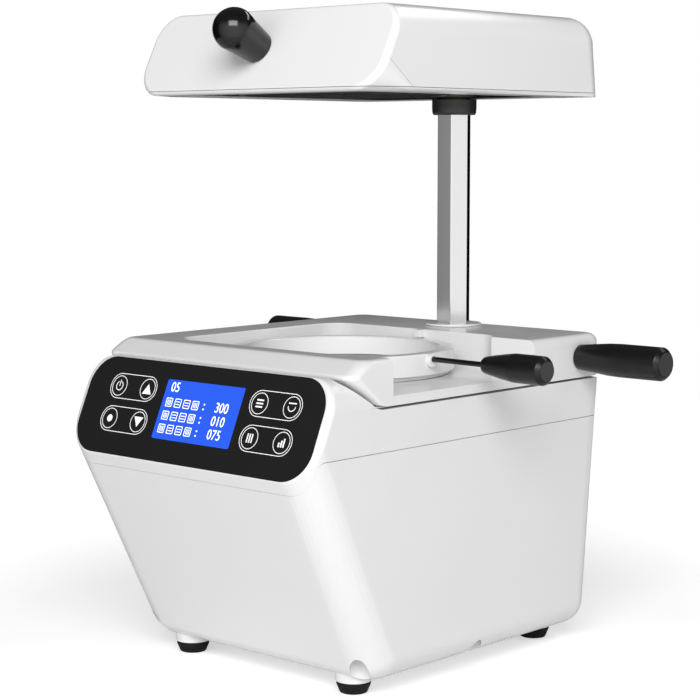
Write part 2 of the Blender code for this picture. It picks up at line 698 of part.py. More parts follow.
def carriage_fittings():
    """The bushing that slides on the column, the film seat and its gasket, and the two side handles."""
    surface = white_plastic()
    centre = (0.0, COLUMN_Y, 0.0)
    top = CARRIAGE_TOP + GAP
    sleeve = [
        (0.0, 0.1930), (0.0157, 0.1930), (0.0157, top),
        (0.0207, top), (0.0207, 0.2238), (0.0, 0.2238),
    ]
    bushing = turned("column_bushing", sleeve, surface, centre, 40)
    wide = circle((COLUMN_FLATS + 2 * GAP) / math.sqrt(3), 6, (0.0, COLUMN_Y))
    combine(bushing, [prism("bushing_hexagon", wide, 0.180, 0.240, surface)])

    tube("film_seat", 0.0755, 0.0665, FLOOR_Z + GAP, 0.2006, surface, (0.0, RING_Y), 48)
    tube("film_gasket", 0.0745, 0.0672, 0.2009, 0.2024, rubber(), (0.0, RING_Y), 48)

    grip = black_plastic()
    inner_end = CARRIAGE_HALF + GAP
    profile = [
        (0.0, inner_end), (0.0088, inner_end), (0.0098, 0.127), (0.0112, 0.140),
        (0.0116, 0.150), (0.0116, HANDLE_END - 0.0025), (0.0088, HANDLE_END), (0.0, HANDLE_END),
    ]
    for name, side in (("left", -1), ("right", 1)):
        side_handle(name + "_handle", profile, grip, side)
        stud = [(0.0, 0.1020), (0.0040, 0.1020), (0.0040, 0.1400), (0.0, 0.1400)]
        side_turned(name + "_handle_stud", stud, steel(), side, 12)


def side_turned(name, profile, surface, side, segments=24):
    """A profile of (radius, distance out) turned about the side handles' axis."""
    piece = turned(name, profile, surface, (0.0, 0.0, 0.0), segments, "X")
    if side < 0:
        piece.data.transform(Matrix.Rotation(math.pi, 4, "Z"))
    piece.data.transform(Matrix.Translation((0.0, HANDLE_Y, HANDLE_Z)))
    return piece


def side_handle(name, profile, surface, side):
    """A grip with a blind bore for its stud."""
    piece = side_turned(name, profile, surface, side)
    drill = [(0.0, 0.1000), (0.0043, 0.1000), (0.0043, 0.1410), (0.0, 0.1410)]
    bore = side_turned(name + "_bore", drill, surface, side, 12)
    return combine(piece, [bore])


def clamp_ring_parts():
    """The ring that clamps the film, and the lever that turns it."""
    surface = white_plastic()
    profile = [
        (0.0652, 0.2028), (0.0735, 0.2028), (0.0765, RING_BOTTOM), (RING_OUTER, RING_BOTTOM + 0.0006),
        (RING_OUTER, RING_TOP - 0.0030), (0.0767, RING_TOP - 0.0012), (0.0740, RING_TOP),
        (0.0680, RING_TOP), (RING_INNER, RING_TOP - 0.0014),
    ]
    ring = turned("clamp_ring", profile, surface, (0.0, RING_Y, 0.0), 56)
    boss = on_lever(lever_rod_shape("lever_boss", 0.0040, 0.0725, 0.0805, surface, 16))
    hole = on_lever(lever_rod_shape("lever_hole", 0.0021, 0.0715, 0.0900, surface, 12))
    combine(ring, [boss], "UNION")
    combine(ring, [hole])
    on_lever(lever_rod_shape("lever_rod", 0.0018, 0.0720, 0.1480, dark_steel(), 12))
    outline = [
        (0.0, GRIP_START), (0.0052, GRIP_START), (0.0066, 0.134), (0.0084, 0.144),
        (0.0095, 0.152), (0.0095, GRIP_END - 0.0025), (0.0068, GRIP_END), (0.0, GRIP_END),
    ]
    grip = on_lever(turned("lever_grip", outline, black_plastic(), (0.0, 0.0, 0.0), 24, "X"))
    bore = on_lever(lever_rod_shape("grip_bore", 0.0021, 0.1100, 0.1490, black_plastic(), 12))
    combine(grip, [bore])


def lever_rod_shape(name, radius, low, high, surface, segments):
    return rod(name, radius, low, high, surface, (0.0, 0.0), segments, "X")


def on_lever(piece):
    """Moves a piece made along X onto the lever's line, which leans a little to the front."""
    turn = Matrix.Rotation(LEVER_ANGLE, 4, "Z")
    place = Matrix.Translation((LEVER_X, LEVER_Y, LEVER_Z)) @ turn @ Matrix.Translation((-LEVER_X, 0.0, 0.0))
    piece.data.transform(place)
    return piece


def head_face_y(z):
    return HEAD_FACE_Y + (z - HEAD_BOTTOM) * math.tan(HEAD_TILT)


def head_ring(z, wall=0.0, arc=5):
    """The outline of the heater head at height z. Its lower front corners are conical facets."""
    level = min(z + wall, HEAD_TOP)
    side = quarter_inset(level - (HEAD_TOP - HEAD_TOP_ROUND), HEAD_TOP_ROUND)
    back = quarter_inset(level - (HEAD_TOP - HEAD_REAR_ROUND), HEAD_REAR_ROUND)
    half = HEAD_HALF - side - wall
    rear = HEAD_REAR - back - wall
    front = head_face_y(z) + wall / math.cos(HEAD_TILT)
    radius = HEAD_LOWER_CORNER
    apex = Vector((half, FACET_Y + wall, HEAD_BOTTOM))
    right = []
    rise = z - HEAD_BOTTOM
    for k in range(arc + 1):
        if rise >= radius * 0.985:
            right.append((half, front + 0.0016 * k))
            continue
        lowest = math.acos(1 - rise / radius)
        angle = lowest + (math.pi / 2 - lowest) * k / arc
        height = HEAD_BOTTOM + radius * (1 - math.cos(angle))
        spot = Vector((half - radius + radius * math.sin(angle), 0.0, height))
        spot.y = head_face_y(height) + wall / math.cos(HEAD_TILT)
        if rise < 1e-6:
            edge = Vector((half - radius, front, z))
            right.append(tuple(edge.lerp(apex, k / arc))[:2])
        else:
            share = rise / (height - HEAD_BOTTOM)
            right.append(tuple(apex.lerp(spot, share))[:2])
    corner = max(REAR_CORNER - back / 2 - wall, 0.003)
    for k in range(arc + 1):
        angle = math.pi / 2 * k / arc
        right.append((half - corner + corner * math.cos(angle), rear - corner + corner * math.sin(angle)))
    left = [(-x, y) for x, y in reversed(right)]
    return [(x, y, z) for x, y in right + left]


def head_levels(low, high):
    corner = [HEAD_BOTTOM + step for step in (0.0013, 0.004, 0.008, 0.013, 0.018, 0.0222)]
    brow = [HEAD_TOP - HEAD_REAR_ROUND * (1 - math.sin(math.radians(a))) for a in (0, 22, 42, 60, 75, 90)]
    inside = [z for z in corner + brow if low + 0.0005 < z < high - 0.0005]
    return [low] + inside + [high]


def head_shells():
    """The head's cover, the white frame under it, and the black shield round the heater."""
    surface = white_plastic()
    cover = loft("head_cover", [head_ring(z) for z in head_levels(HEAD_BOTTOM, HEAD_TOP)], surface)
    inside = [head_ring(z, WALL) for z in head_levels(HEAD_SEAM_Z - 0.001, HEAD_TOP - WALL)]
    below = box("cover_bottom_cutter", (-0.150, -0.150, 0.380), (0.150, 0.200, HEAD_SEAM_Z), surface)
    bore = rod("knob_stud_hole", 0.0043, -0.020, 0.020, surface, segments=16)
    tilted(bore, knob_place(), HEAD_TILT)
    combine(cover, [loft("cover_inside_cutter", inside, surface), below, bore])

    levels = (HEAD_BOTTOM, HEAD_BOTTOM + 0.0013, HEAD_SEAM_Z - GAP)
    tray = loft("head_tray", [head_ring(z) for z in levels], surface)
    span = (HEAD_TRAY_FRONT + HEAD_TRAY_REAR) / 2
    depth = (HEAD_TRAY_REAR - HEAD_TRAY_FRONT) / 2
    outline = rounded(rectangle(0.0860, depth, 0.010, (0.0, span)), 3)
    combine(tray, [prism("tray_opening", outline, 0.380, 0.400, surface)])

    dark = black_plastic()
    plate = rounded(rectangle(0.0860 - GAP, depth - GAP, 0.010 - GAP, (0.0, span)), 3)
    shield = prism("heat_shield", plate, HEAD_BOTTOM + 0.0004, HEAD_SEAM_Z - GAP, dark)
    mouth = rod("heater_mouth", HEATER_RADIUS, 0.380, 0.400, dark, (0.0, RING_Y), 48)
    pivot = rod("shield_pivot_hole", 0.0140, 0.380, 0.400, dark, (0.0, COLUMN_Y), 24)
    combine(shield, [mouth, pivot])


def heater():
    """The radiant heater: a reflector, a ring-shaped element and a wire guard."""
    floor, lip = HEAD_SEAM_Z, HEAD_SEAM_Z + 0.0012
    bowl = [
        (HEATER_RADIUS - 0.0080, 0.4300), (HEATER_RADIUS - 0.0018, lip), (HEATER_RADIUS + 0.006, lip),
        (HEATER_RADIUS + 0.006, floor), (HEATER_RADIUS - 0.003, floor), (HEATER_RADIUS - 0.0088, 0.4288),
    ]

    def reflector(work):
        loops = [[work.verts.new((x, y + RING_Y, z)) for x, y in circle(r, 40)] for r, z in bowl]
        for lower, upper in zip(loops, loops[1:]):
            for i in range(40):
                j = (i + 1) % 40
                work.faces.new((lower[i], lower[j], upper[j], upper[i]))
        work.faces.new(loops[0])
        work.faces.new(loops[-1])

    finish_mesh("heater_reflector", mesh_from("heater_reflector", reflector), steel())

    ceramic = material("ceramic", (0.55, 0.5, 0.45), 0.6)
    element = tube("heater_element", 0.0480, 0.0420, 0.4080, 0.4140, ceramic, (0.0, RING_Y), 36)
    posts = circle(0.0450, 3, (0.0, RING_Y))
    rods = [
        rod(f"element_post_{i}", 0.0022, 0.4120, 0.4285, ceramic, spot, 8)
        for i, spot in enumerate(posts)
    ]
    combine(element, rods, "UNION")

    wire = dark_steel()
    low, high, half = HEAD_BOTTOM + 0.0001, HEAD_BOTTOM + 0.0015, 0.0009
    outer, inner = HEATER_RADIUS - 0.0006, HEATER_RADIUS - 0.0036
    guard = tube("heater_guard", outer, inner, HEAD_BOTTOM, HEAD_BOTTOM + 0.0016, wire, (0.0, RING_Y), 48)
    bars = [box("guard_cross", (-inner, RING_Y - half, low), (inner, RING_Y + half, high), wire)]
    for k in range(-3, 4):
        x = k * 0.0185
        reach = math.sqrt((inner + 0.0016) ** 2 - x * x)
        ends = (x - half, RING_Y - reach, low), (x + half, RING_Y + reach, high)
        bars.append(box(f"guard_bar_{k}", *ends, wire))
    combine(guard, bars, "UNION")


def head_pivot():
    """The hub and bearing that carry the head on the pivot pin, and the collar under it."""
    centre = (0.0, COLUMN_Y, 0.0)
    cast = dark_steel()
    hub = [
        (0.0118, HEAD_SEAM_Z), (0.0190, HEAD_SEAM_Z), (0.0190, 0.3945),
        (0.0150, 0.3945), (0.0150, 0.4272), (0.0118, 0.4272),
    ]
    turned("pivot_hub", hub, cast, centre, 32)
    brass = material("bearing_bronze", (0.62, 0.42, 0.18), 0.35, 1.0)
    tube("pivot_bearing", 0.0115, 0.0083, 0.3864, 0.4276, brass, (0.0, COLUMN_Y), 32)
    collar = [
        (0.0133, COLLAR_BOTTOM), (0.0150, COLLAR_BOTTOM), (0.0158, COLLAR_BOTTOM + 0.0010),
        (COLLAR_RADIUS, COLLAR_TOP - 0.003), (COLLAR_RADIUS, COLLAR_TOP), (0.0133, COLLAR_TOP),
    ]
    turned("head_collar", collar, cast, centre, 40)


def knob_place():
    return (KNOB_X, head_face_y(KNOB_HEIGHT), KNOB_HEIGHT)


def head_knob():
    surface = material("gloss_black", (0.01, 0.01, 0.01), 0.12)
    ball, length = 0.0144, 0.0250
    profile = [(0.0, GAP), (0.0108, GAP), (0.0112, 0.0015), (0.0122, 0.0100), (0.0142, length)]
    for k in range(1, 6):
        angle = math.pi / 2 * k / 6
        profile.append((ball * math.cos(angle), length + ball * math.sin(angle)))
    profile.append((0.0, length + ball))
    knob = turned("head_knob", profile, surface, (0.0, 0.0, 0.0), 24)
    bore = rod("knob_bore", 0.0043, -0.010, 0.0160, surface, (0.0, 0.0), 12)
    tilted(knob, knob_place(), HEAD_TILT)
    tilted(bore, knob_place(), HEAD_TILT)
    combine(knob, [bore])
    stud = rod("knob_stud", 0.0040, -0.0070, 0.0150, steel(), (0.0, 0.0), 12)
    tilted(stud, knob_place(), HEAD_TILT)


CARRIAGE_NODES = [
    "carriage", "column_bushing", "film_seat", "film_gasket",
    "left_handle", "left_handle_stud", "right_handle", "right_handle_stud",
]
RING_NODES = ["clamp_ring", "lever_rod", "lever_grip"]
HEAD_NODES = [
    "head_cover", "head_tray", "heat_shield", "heater_reflector", "heater_element", "heater_guard",
    "pivot_hub", "pivot_bearing", "head_collar", "head_knob", "knob_stud",
]


def hang_on_axis(name, spot, nodes):
    """Parents a moving body's nodes to an empty on its joint's axis, without moving them."""
    pivot = bpy.data.objects.new(name, None)
    pivot.location = spot
    bpy.context.scene.collection.objects.link(pivot)
    for node in nodes:
        piece = bpy.data.objects[node]
        piece.parent = pivot
        piece.matrix_parent_inverse = Matrix.Translation(spot).inverted()


def build_machine():
    clear_scene()
    base_tub()
    upper_housing()
    control_panel()
    lcd_module()
    control_board()
    vacuum_table()
    blower()
    power_parts()
    feet()
    column_parts()
    carriage()
    carriage_fittings()
    clamp_ring_parts()
    head_shells()
    heater()
    head_pivot()
    head_knob()
    hang_on_axis("carriage_slide_axis", (0.0, COLUMN_Y, FLOOR_Z), CARRIAGE_NODES)
    hang_on_axis("clamp_ring_axis", (0.0, RING_Y, RING_TOP), RING_NODES)
    hang_on_axis("head_swing_axis", (0.0, COLUMN_Y, COLLAR_BOTTOM), HEAD_NODES)
    hang_on_axis("impeller_axis", (0.0, RING_Y, 0.105), ["blower_impeller"])


build_machine()
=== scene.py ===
"""The looks of the bench-top vacuum packing machine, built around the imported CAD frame.

Fine shells replace the CAD's plain ones, with the same sizes and the fillets that it leaves out.
Everything is in metres, in the CAD's frame: +Z up, the front at -Y, the lever at +X.
"""

import math

import bmesh
import bpy
from mathutils import Matrix, Vector


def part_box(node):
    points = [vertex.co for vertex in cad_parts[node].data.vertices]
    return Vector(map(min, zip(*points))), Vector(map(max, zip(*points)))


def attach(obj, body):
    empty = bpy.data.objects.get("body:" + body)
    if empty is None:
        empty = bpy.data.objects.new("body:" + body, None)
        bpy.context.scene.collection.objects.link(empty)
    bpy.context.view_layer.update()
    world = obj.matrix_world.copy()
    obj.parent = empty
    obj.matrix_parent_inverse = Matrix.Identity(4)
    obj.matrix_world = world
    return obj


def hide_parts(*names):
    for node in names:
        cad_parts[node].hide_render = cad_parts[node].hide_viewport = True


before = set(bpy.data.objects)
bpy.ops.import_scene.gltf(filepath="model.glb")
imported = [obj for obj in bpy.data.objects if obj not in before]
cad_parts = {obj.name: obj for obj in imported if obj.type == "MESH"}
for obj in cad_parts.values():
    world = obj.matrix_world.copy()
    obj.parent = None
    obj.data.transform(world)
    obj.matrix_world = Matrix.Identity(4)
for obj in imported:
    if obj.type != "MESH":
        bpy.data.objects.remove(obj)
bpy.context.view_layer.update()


# ---------------------------------------------------------------- sizes, from the frame

HOUSING_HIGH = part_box("upper_housing")[1]
CARRIAGE_LOW, CARRIAGE_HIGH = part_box("carriage")
RING_LOW, RING_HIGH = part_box("film_seat")
COLUMN_LOW, COLUMN_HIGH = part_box("column")
HEAD_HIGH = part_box("head_cover")[1]

HALF_WIDTH = HOUSING_HIGH[0]
BASE_REAR = HOUSING_HIGH[1]
BASE_BOTTOM = 0.0115
LIP_Z = HOUSING_HIGH[2]
COLUMN_Y = (COLUMN_LOW[1] + COLUMN_HIGH[1]) / 2
RING_Y = (RING_LOW[1] + RING_HIGH[1]) / 2
DECK_Z = 0.1903
SLOPE = math.radians(26.0)
SLOPE_Y, SLOPE_Z = -0.1465, 0.141
PANEL_TILT = math.radians(23.6)
PANEL_BASE_Y, PANEL_BASE_Z = -0.1512, 0.1502
PANEL_WIDTH, PANEL_HEIGHT, PANEL_CORNER = 0.2194, 0.0678, 0.0215
SLOPE_CORNER, BROW_ROUND, REAR_CORNER, BOTTOM_ROUND = 0.024, 0.021, 0.014, 0.018
DRAFT, REAR_DRAFT = 0.0049, 0.0016
SEAM_Y, SEAM_Z = -0.140, 0.163
SEAM = 0.0004
LCD_WIDTH, LCD_HEIGHT = 0.072, 0.0402
LCD_CENTRE = (0.0020, 0.0020)

CARRIAGE_HALF, CARRIAGE_REAR, CARRIAGE_TOP = CARRIAGE_HIGH[0], CARRIAGE_HIGH[1], CARRIAGE_HIGH[2]
FLOOR_Z = 0.198
RECESS_HALF, RECESS_FRONT, RECESS_REAR, RECESS_CORNER = 0.079, -0.084, 0.0822, 0.018
NOTCH_FRONT, NOTCH_REAR = -0.0748, 0.0714
RING_TOP = 0.2158
HANDLE_Z, HANDLE_END = 0.2065, 0.1865
LEVER_X, LEVER_Y, LEVER_Z, LEVER_ANGLE = 0.079, 0.0055, 0.2120, math.radians(-3.0)

HEAD_BOTTOM, HEAD_TOP, HEAD_HALF, HEAD_REAR = 0.388, HEAD_HIGH[2], HEAD_HIGH[0], HEAD_HIGH[1]
HEAD_TILT = math.radians(26.8)
HEAD_FACE_Y = -0.0890
HEAD_SEAM_Z = 0.3906
HEAD_ROUND, HEAD_CORNER, FACET_Y = 0.020, 0.022, -0.0527
HEAD_WALL = 0.0025
KNOB_X, KNOB_Z = -0.0034, 0.4175

TINY = 0.00002

# The studio: which way the bright side is, and how bright its parts are
BRIGHT_SIDE, SIDE_LIGHT, CEILING, KEY = -47.0, 1.33, 0.10, 50.0
REAR_STRIP = 5.0


# ---------------------------------------------------------------- materials

class Nodes:
    """A material's node tree, with short ways to add nodes and links."""

    def __init__(self, name, color, roughness, metallic=0.0):
        self.material = bpy.data.materials.new(name)
        self.material.use_nodes = True
        self.tree = self.material.node_tree
        self.shader = self.tree.nodes["Principled BSDF"]
        self.shader.inputs["Base Color"].default_value = (*color, 1.0)
        self.shader.inputs["Roughness"].default_value = roughness
        self.shader.inputs["Metallic"].default_value = metallic

    def add(self, kind, **inputs):
        node = self.tree.nodes.new(kind)
        for key, value in inputs.items():
            node.inputs[key.replace("_", " ")].default_value = value
        return node

    def link(self, source, output, target, name):
        self.tree.links.new(source.outputs[output], target.inputs[name])

    def place(self, stretch=(1.0, 1.0, 1.0)):
        """Object coordinates, stretched along an axis for brushed or drawn surfaces."""
        coordinates = self.add("ShaderNodeTexCoord")
        mapping = self.add("ShaderNodeMapping")
        mapping.inputs["Scale"].default_value = stretch
        self.link(coordinates, "Object", mapping, "Vector")
        return mapping

    def noise(self, scale, detail=2.0, stretch=(1.0, 1.0, 1.0)):
        texture = self.add("ShaderNodeTexNoise", Scale=scale, Detail=detail)
        self.link(self.place(stretch), "Vector", texture, "Vector")
        return texture

    def spread(self, texture, low, high, target="Roughness"):
        """Sends a texture, mapped to low..high, to one of the shader's numbers."""
        spread = self.add("ShaderNodeMapRange")
        spread.inputs["From Min"].default_value = 0.35
        spread.inputs["From Max"].default_value = 0.65
        spread.inputs["To Min"].default_value = low
        spread.inputs["To Max"].default_value = high
        self.link(texture, "Fac", spread, "Value")
        self.link(spread, "Result", self.shader, target)

    def tint(self, texture, low, high):
        ramp = self.add("ShaderNodeValToRGB")
        ramp.color_ramp.elements[0].position = 0.35
        ramp.color_ramp.elements[0].color = (*low, 1.0)
        ramp.color_ramp.elements[1].position = 0.65
        ramp.color_ramp.elements[1].color = (*high, 1.0)
        self.link(texture, "Fac", ramp, "Fac")
        self.link(ramp, "Color", self.shader, "Base Color")

    def bump(self, texture, strength, distance):
        bump = self.add("ShaderNodeBump", Strength=strength, Distance=distance)
        self.link(texture, "Fac", bump, "Height")
        self.link(bump, "Normal", self.shader, "Normal")


def white_plastic():
    """Injection-moulded ABS with a satin gloss: nearly even in colour."""
    made = Nodes("white_moulded_plastic", (0.80, 0.80, 0.80), 0.22)
    made.tint(made.noise(6.0, 1.0), (0.800, 0.800, 0.800), (0.806, 0.806, 0.805))
    made.spread(made.noise(25.0, 1.0), 0.20, 0.24)
    made.shader.inputs["IOR"].default_value = 1.5
    return made.material


def black_plastic():
    made = Nodes("black_satin_plastic", (0.010, 0.010, 0.010), 0.34)
    made.spread(made.noise(60.0, 2.0), 0.30, 0.37)
    made.tint(made.noise(30.0, 2.0), (0.008, 0.008, 0.008), (0.011, 0.011, 0.011))
    return made.material


def grip_plastic():
    """Turned phenolic grips: satin, with faint turning marks round them."""
    made = Nodes("black_turned_grip", (0.006, 0.006, 0.006), 0.30)
    made.shader.inputs["Specular IOR Level"].default_value = 0.35
    made.spread(made.noise(12.0, 1.0), 0.28, 0.32)
    return made.material


def grip_end():
    made = Nodes("grip_end_face", (0.045, 0.045, 0.045), 0.45)
    made.spread(made.noise(300.0, 3.0), 0.40, 0.52)
    return made.material


def gloss_black():
    made = Nodes("gloss_black_phenolic", (0.004, 0.004, 0.004), 0.14)
    made.spread(made.noise(30.0, 2.0), 0.12, 0.17)
    return made.material


def panel_film():
    """The overlay: an even matte film."""
    made = Nodes("matte_black_overlay", (0.0100, 0.0100, 0.0100), 0.55)
    made.spread(made.noise(40.0, 2.0), 0.52, 0.58)
    made.shader.inputs["Specular IOR Level"].default_value = 0.20
    return made.material


def printed_white_painted_glow():
    made = Nodes("white_screen_print_painted_glow", (0.85, 0.85, 0.85), 0.5)
    made.spread(made.noise(500.0, 2.0), 0.45, 0.60)
    # White screen print with a painted glow: its emission makes it brighter than the lamps alone light it,
    # though the print is no lamp.
    made.shader.inputs["Emission Color"].default_value = (1.0, 1.0, 1.0, 1.0)
    made.shader.inputs["Emission Strength"].default_value = 0.25
    return made.material


def display_blue():
    """The back-lit display: an even blue, a little brighter where its lamps are."""
    made = Nodes("blue_backlit_display", (0.004, 0.016, 0.120), 0.25)
    glow = made.noise(14.0, 1.0)
    ramp = made.add("ShaderNodeValToRGB")
    ramp.color_ramp.elements[0].color = (0.026, 0.112, 0.86, 1.0)
    ramp.color_ramp.elements[1].color = (0.030, 0.122, 0.90, 1.0)
    made.link(glow, "Fac", ramp, "Fac")
    made.link(ramp, "Color", made.shader, "Emission Color")
    made.shader.inputs["Emission Strength"].default_value = 0.95
    made.shader.inputs["Specular IOR Level"].default_value = 0.2
    return made.material


def display_white():
    made = Nodes("lit_display_segments", (0.9, 0.9, 0.9), 0.4)
    made.spread(made.noise(300.0, 2.0), 0.35, 0.45)
    made.shader.inputs["Emission Color"].default_value = (0.93, 0.97, 1.0, 1.0)
    made.shader.inputs["Emission Strength"].default_value = 0.8
    return made.material


def silicone():
    made = Nodes("pale_grey_silicone", (0.42, 0.42, 0.42), 0.5)
    made.spread(made.noise(80.0, 2.0), 0.45, 0.58)
    return made.material


def rubber():
    made = Nodes("black_moulded_rubber", (0.006, 0.006, 0.006), 0.7)
    made.spread(made.noise(80.0, 3.0), 0.62, 0.78)
    made.shader.inputs["Specular IOR Level"].default_value = 0.25
    return made.material


def aluminium():
    """Drawn and satin-anodised aluminium, with fine lines along the draw."""
    made = Nodes("satin_anodised_aluminium", (0.72, 0.72, 0.725), 0.14, 1.0)
    made.spread(made.noise(500.0, 2.0, (1.0, 1.0, 0.012)), 0.12, 0.16)
    return made.material


def zinc_steel():
    made = Nodes("zinc_plated_steel", (0.56, 0.57, 0.59), 0.32, 1.0)
    made.tint(made.noise(40.0, 4.0), (0.50, 0.51, 0.53), (0.62, 0.63, 0.66))
    made.spread(made.noise(250.0, 3.0), 0.26, 0.40)
    return made.material


def dark_metal():
    made = Nodes("dark_satin_metal", (0.045, 0.045, 0.047), 0.36, 0.3)
    made.spread(made.noise(260.0, 3.0), 0.30, 0.44)
    made.bump(made.noise(1800.0, 2.0), 0.08, 0.00004)
    return made.material


def circuit_board():
    made = Nodes("green_circuit_board", (0.01, 0.12, 0.04), 0.45)
    made.tint(made.noise(160.0, 4.0), (0.008, 0.09, 0.03), (0.015, 0.16, 0.06))
    made.spread(made.noise(90.0, 2.0), 0.38, 0.55)
    return made.material


def ceramic():
    made = Nodes("heater_ceramic", (0.56, 0.52, 0.46), 0.65)
    made.tint(made.noise(120.0, 4.0), (0.50, 0.46, 0.40), (0.62, 0.58, 0.52))
    made.bump(made.noise(900.0, 3.0), 0.25, 0.0001)
    return made.material


def bronze():
    made = Nodes("oiled_sintered_bronze", (0.10, 0.08, 0.05), 0.5, 1.0)
    made.tint(made.noise(300.0, 3.0), (0.08, 0.06, 0.04), (0.13, 0.10, 0.06))
    return made.material


WHITE = white_plastic()
BLACK = black_plastic()
GRIP = grip_plastic()
GRIP_END = grip_end()
GLOSS = gloss_black()
FILM = panel_film()
PRINT_PAINTED_GLOW = printed_white_painted_glow()
BLUE = display_blue()
SEGMENT = display_white()
RUBBER = rubber()
SILICONE = silicone()
ALUMINIUM = aluminium()
STEEL = zinc_steel()
DARK = dark_metal()
BOARD = circuit_board()
CERAMIC = ceramic()
BRONZE = bronze()


# ---------------------------------------------------------------- making pieces

def piece_from(name, work, surface):
    bmesh.ops.recalc_face_normals(work, faces=work.faces)
    mesh = bpy.data.meshes.new(name)
    work.to_mesh(mesh)
    work.free()
    mesh.materials.append(surface)
    made = bpy.data.objects.new(name, mesh)
    bpy.context.scene.collection.objects.link(made)
    return made


def place_on(piece, body, slot, *nodes, sharp=28.0):
    """Shades a finished piece, and says which body it rides on and which CAD nodes it stands for."""
    piece.data.shade_smooth()
    piece.data.set_sharp_from_angle(angle=math.radians(sharp))
    weighted = piece.modifiers.new("weighted_normals", "WEIGHTED_NORMAL")
    weighted.keep_sharp = True
    weighted.weight = 90
    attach(piece, body)
    if nodes:
        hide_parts(*nodes)
    return piece


def hull(name, points, surface):
    """The smallest convex solid round a set of points."""
    work = bmesh.new()
    for point in points:
        work.verts.new(point)
    bmesh.ops.remove_doubles(work, verts=work.verts, dist=TINY)
    made = bmesh.ops.convex_hull(work, input=work.verts)
    spare = {item for item in made["geom_interior"] + made["geom_unused"] if isinstance(item,
        bmesh.types.BMVert)}
    bmesh.ops.delete(work, geom=list(spare), context="VERTS")
    bmesh.ops.dissolve_limit(work, angle_limit=math.radians(0.05), verts=work.verts, edges=work.edges)
    return piece_from(name, work, surface)


def loft(name, rings, surface):
    """A closed solid through closed rings of points, all with the same count."""
    work = bmesh.new()
    loops = [[work.verts.new(point) for point in ring] for ring in rings]
    count = len(loops[0])
    for lower, upper in zip(loops, loops[1:]):
        for i in range(count):
            j = (i + 1) % count
            work.faces.new((lower[i], lower[j], upper[j], upper[i]))
    work.faces.new(list(reversed(loops[0])))
    work.faces.new(loops[-1])
    return piece_from(name, work, surface)


def arc(centre, radius, start, end, steps):
    """Points along an arc in a plane, angles in degrees."""
    angles = [math.radians(start + (end - start) * i / steps) for i in range(steps + 1)]
    return [(centre[0] + radius * math.cos(a), centre[1] + radius * math.sin(a)) for a in angles]


def rounded(corners, steps=8):
    """A closed outline from (x, y, radius) corners, each rounded with an arc of its radius."""
    points = []
    count = len(corners)
    for i, (x, y, radius) in enumerate(corners):
        here = Vector((x, y))
        if radius == 0:
            points.append((x, y))
            continue
        before = (Vector(corners[i - 1][:2]) - here).normalized()
        after = (Vector(corners[(i + 1) % count][:2]) - here).normalized()
        half_angle = before.angle(after) / 2
        centre = here + (before + after).normalized() * radius / math.sin(half_angle)
        start = here + before * radius / math.tan(half_angle) - centre
        end = here + after * radius / math.tan(half_angle) - centre
        turn = 1 if start.x * end.y - start.y * end.x > 0 else -1
        for k in range(steps + 1):
            spoke = Matrix.Rotation(turn * (math.pi - 2 * half_angle) * k / steps, 2) @ start
            points.append((centre.x + spoke.x, centre.y + spoke.y))
    return points


def rectangle(half_x, half_y, radius, centre=(0.0, 0.0)):
    x, y = centre
    signs = ((-1, -1), (1, -1), (1, 1), (-1, 1))
    return [(x + sx * half_x, y + sy * half_y, radius) for sx, sy in signs]


def prism(name, outline, low, high, surface, along="Z"):
    place = {
        "X": lambda a, b, t: (t, a, b),
        "Y": lambda a, b, t: (a, t, b),
        "Z": lambda a, b, t: (a, b, t),
    }[along]
    return loft(name, [[place(a, b, t) for a, b in outline] for t in (low, high)], surface)


def box(name, low, high, surface):
    return prism(name, [(low[0], low[1]), (high[0], low[1]), (high[0], high[1]), (low[0], high[1])], low[2],
        high[2], surface)


def circle(radius, count, centre=(0.0, 0.0)):
    angles = [2 * math.pi * i / count for i in range(count)]
    return [(centre[0] + radius * math.cos(a), centre[1] + radius * math.sin(a)) for a in angles]


def soften(profile, radius, steps=4):
    """Rounds the inner corners of an open (radius, height) profile, as far as its edges allow."""
    out = [profile[0]]
    for before, here, after in zip(profile, profile[1:], profile[2:]):
        a, b, c = Vector(before), Vector(here), Vector(after)
        reach = min(radius, 0.45 * (a - b).length, 0.45 * (c - b).length)
        if reach < TINY or abs((a - b).angle(c - b) - math.pi) < math.radians(4):
            out.append(here)
            continue
        start, end = b + (a - b).normalized() * reach, b + (c - b).normalized() * reach
        for k in range(steps + 1):
            t = k / steps
            out.append(tuple(start * (1 - t) ** 2 + b * 2 * t * (1 - t) + end * t * t))
    out.append(profile[-1])
    return out


def turned(name, profile, surface, centre=(0.0, 0.0, 0.0), segments=96, along="Z"):
    """A profile of (radius, height) points turned about an axis, closed on itself off the axis."""
    on_axis = profile[0][0] == 0
    body = profile[1:-1] if on_axis else profile
    work = bmesh.new()
    loops = [[work.verts.new((x, y, height)) for x, y in circle(radius, segments)] for radius, height in body]
    pairs = list(zip(loops, loops[1:]))
    if not on_axis:
        pairs.append((loops[-1], loops[0]))
    for lower, upper in pairs:
        for i in range(segments):
            j = (i + 1) % segments
            work.faces.new((lower[i], lower[j], upper[j], upper[i]))
    if on_axis:
        work.faces.new(list(reversed(loops[0])))
        work.faces.new(loops[-1])
    turn = Matrix.Rotation(math.pi / 2, 4, "Y") if along == "X" else Matrix()
    work.transform(Matrix.Translation(centre) @ turn)
    return piece_from(name, work, surface)


def combine(target, tools, operation="DIFFERENCE"):
    """Cuts or joins the tools into the target, and removes them."""
    for tool in tools:
        step = target.modifiers.new(tool.name, "BOOLEAN")
        step.operation = operation
        step.object = tool
    graph = bpy.context.evaluated_depsgraph_get()
    mesh = bpy.data.meshes.new_from_object(target.evaluated_get(graph))
    target.modifiers.clear()
    target.data = mesh
    for tool in tools:
        bpy.data.objects.remove(tool)
    return target


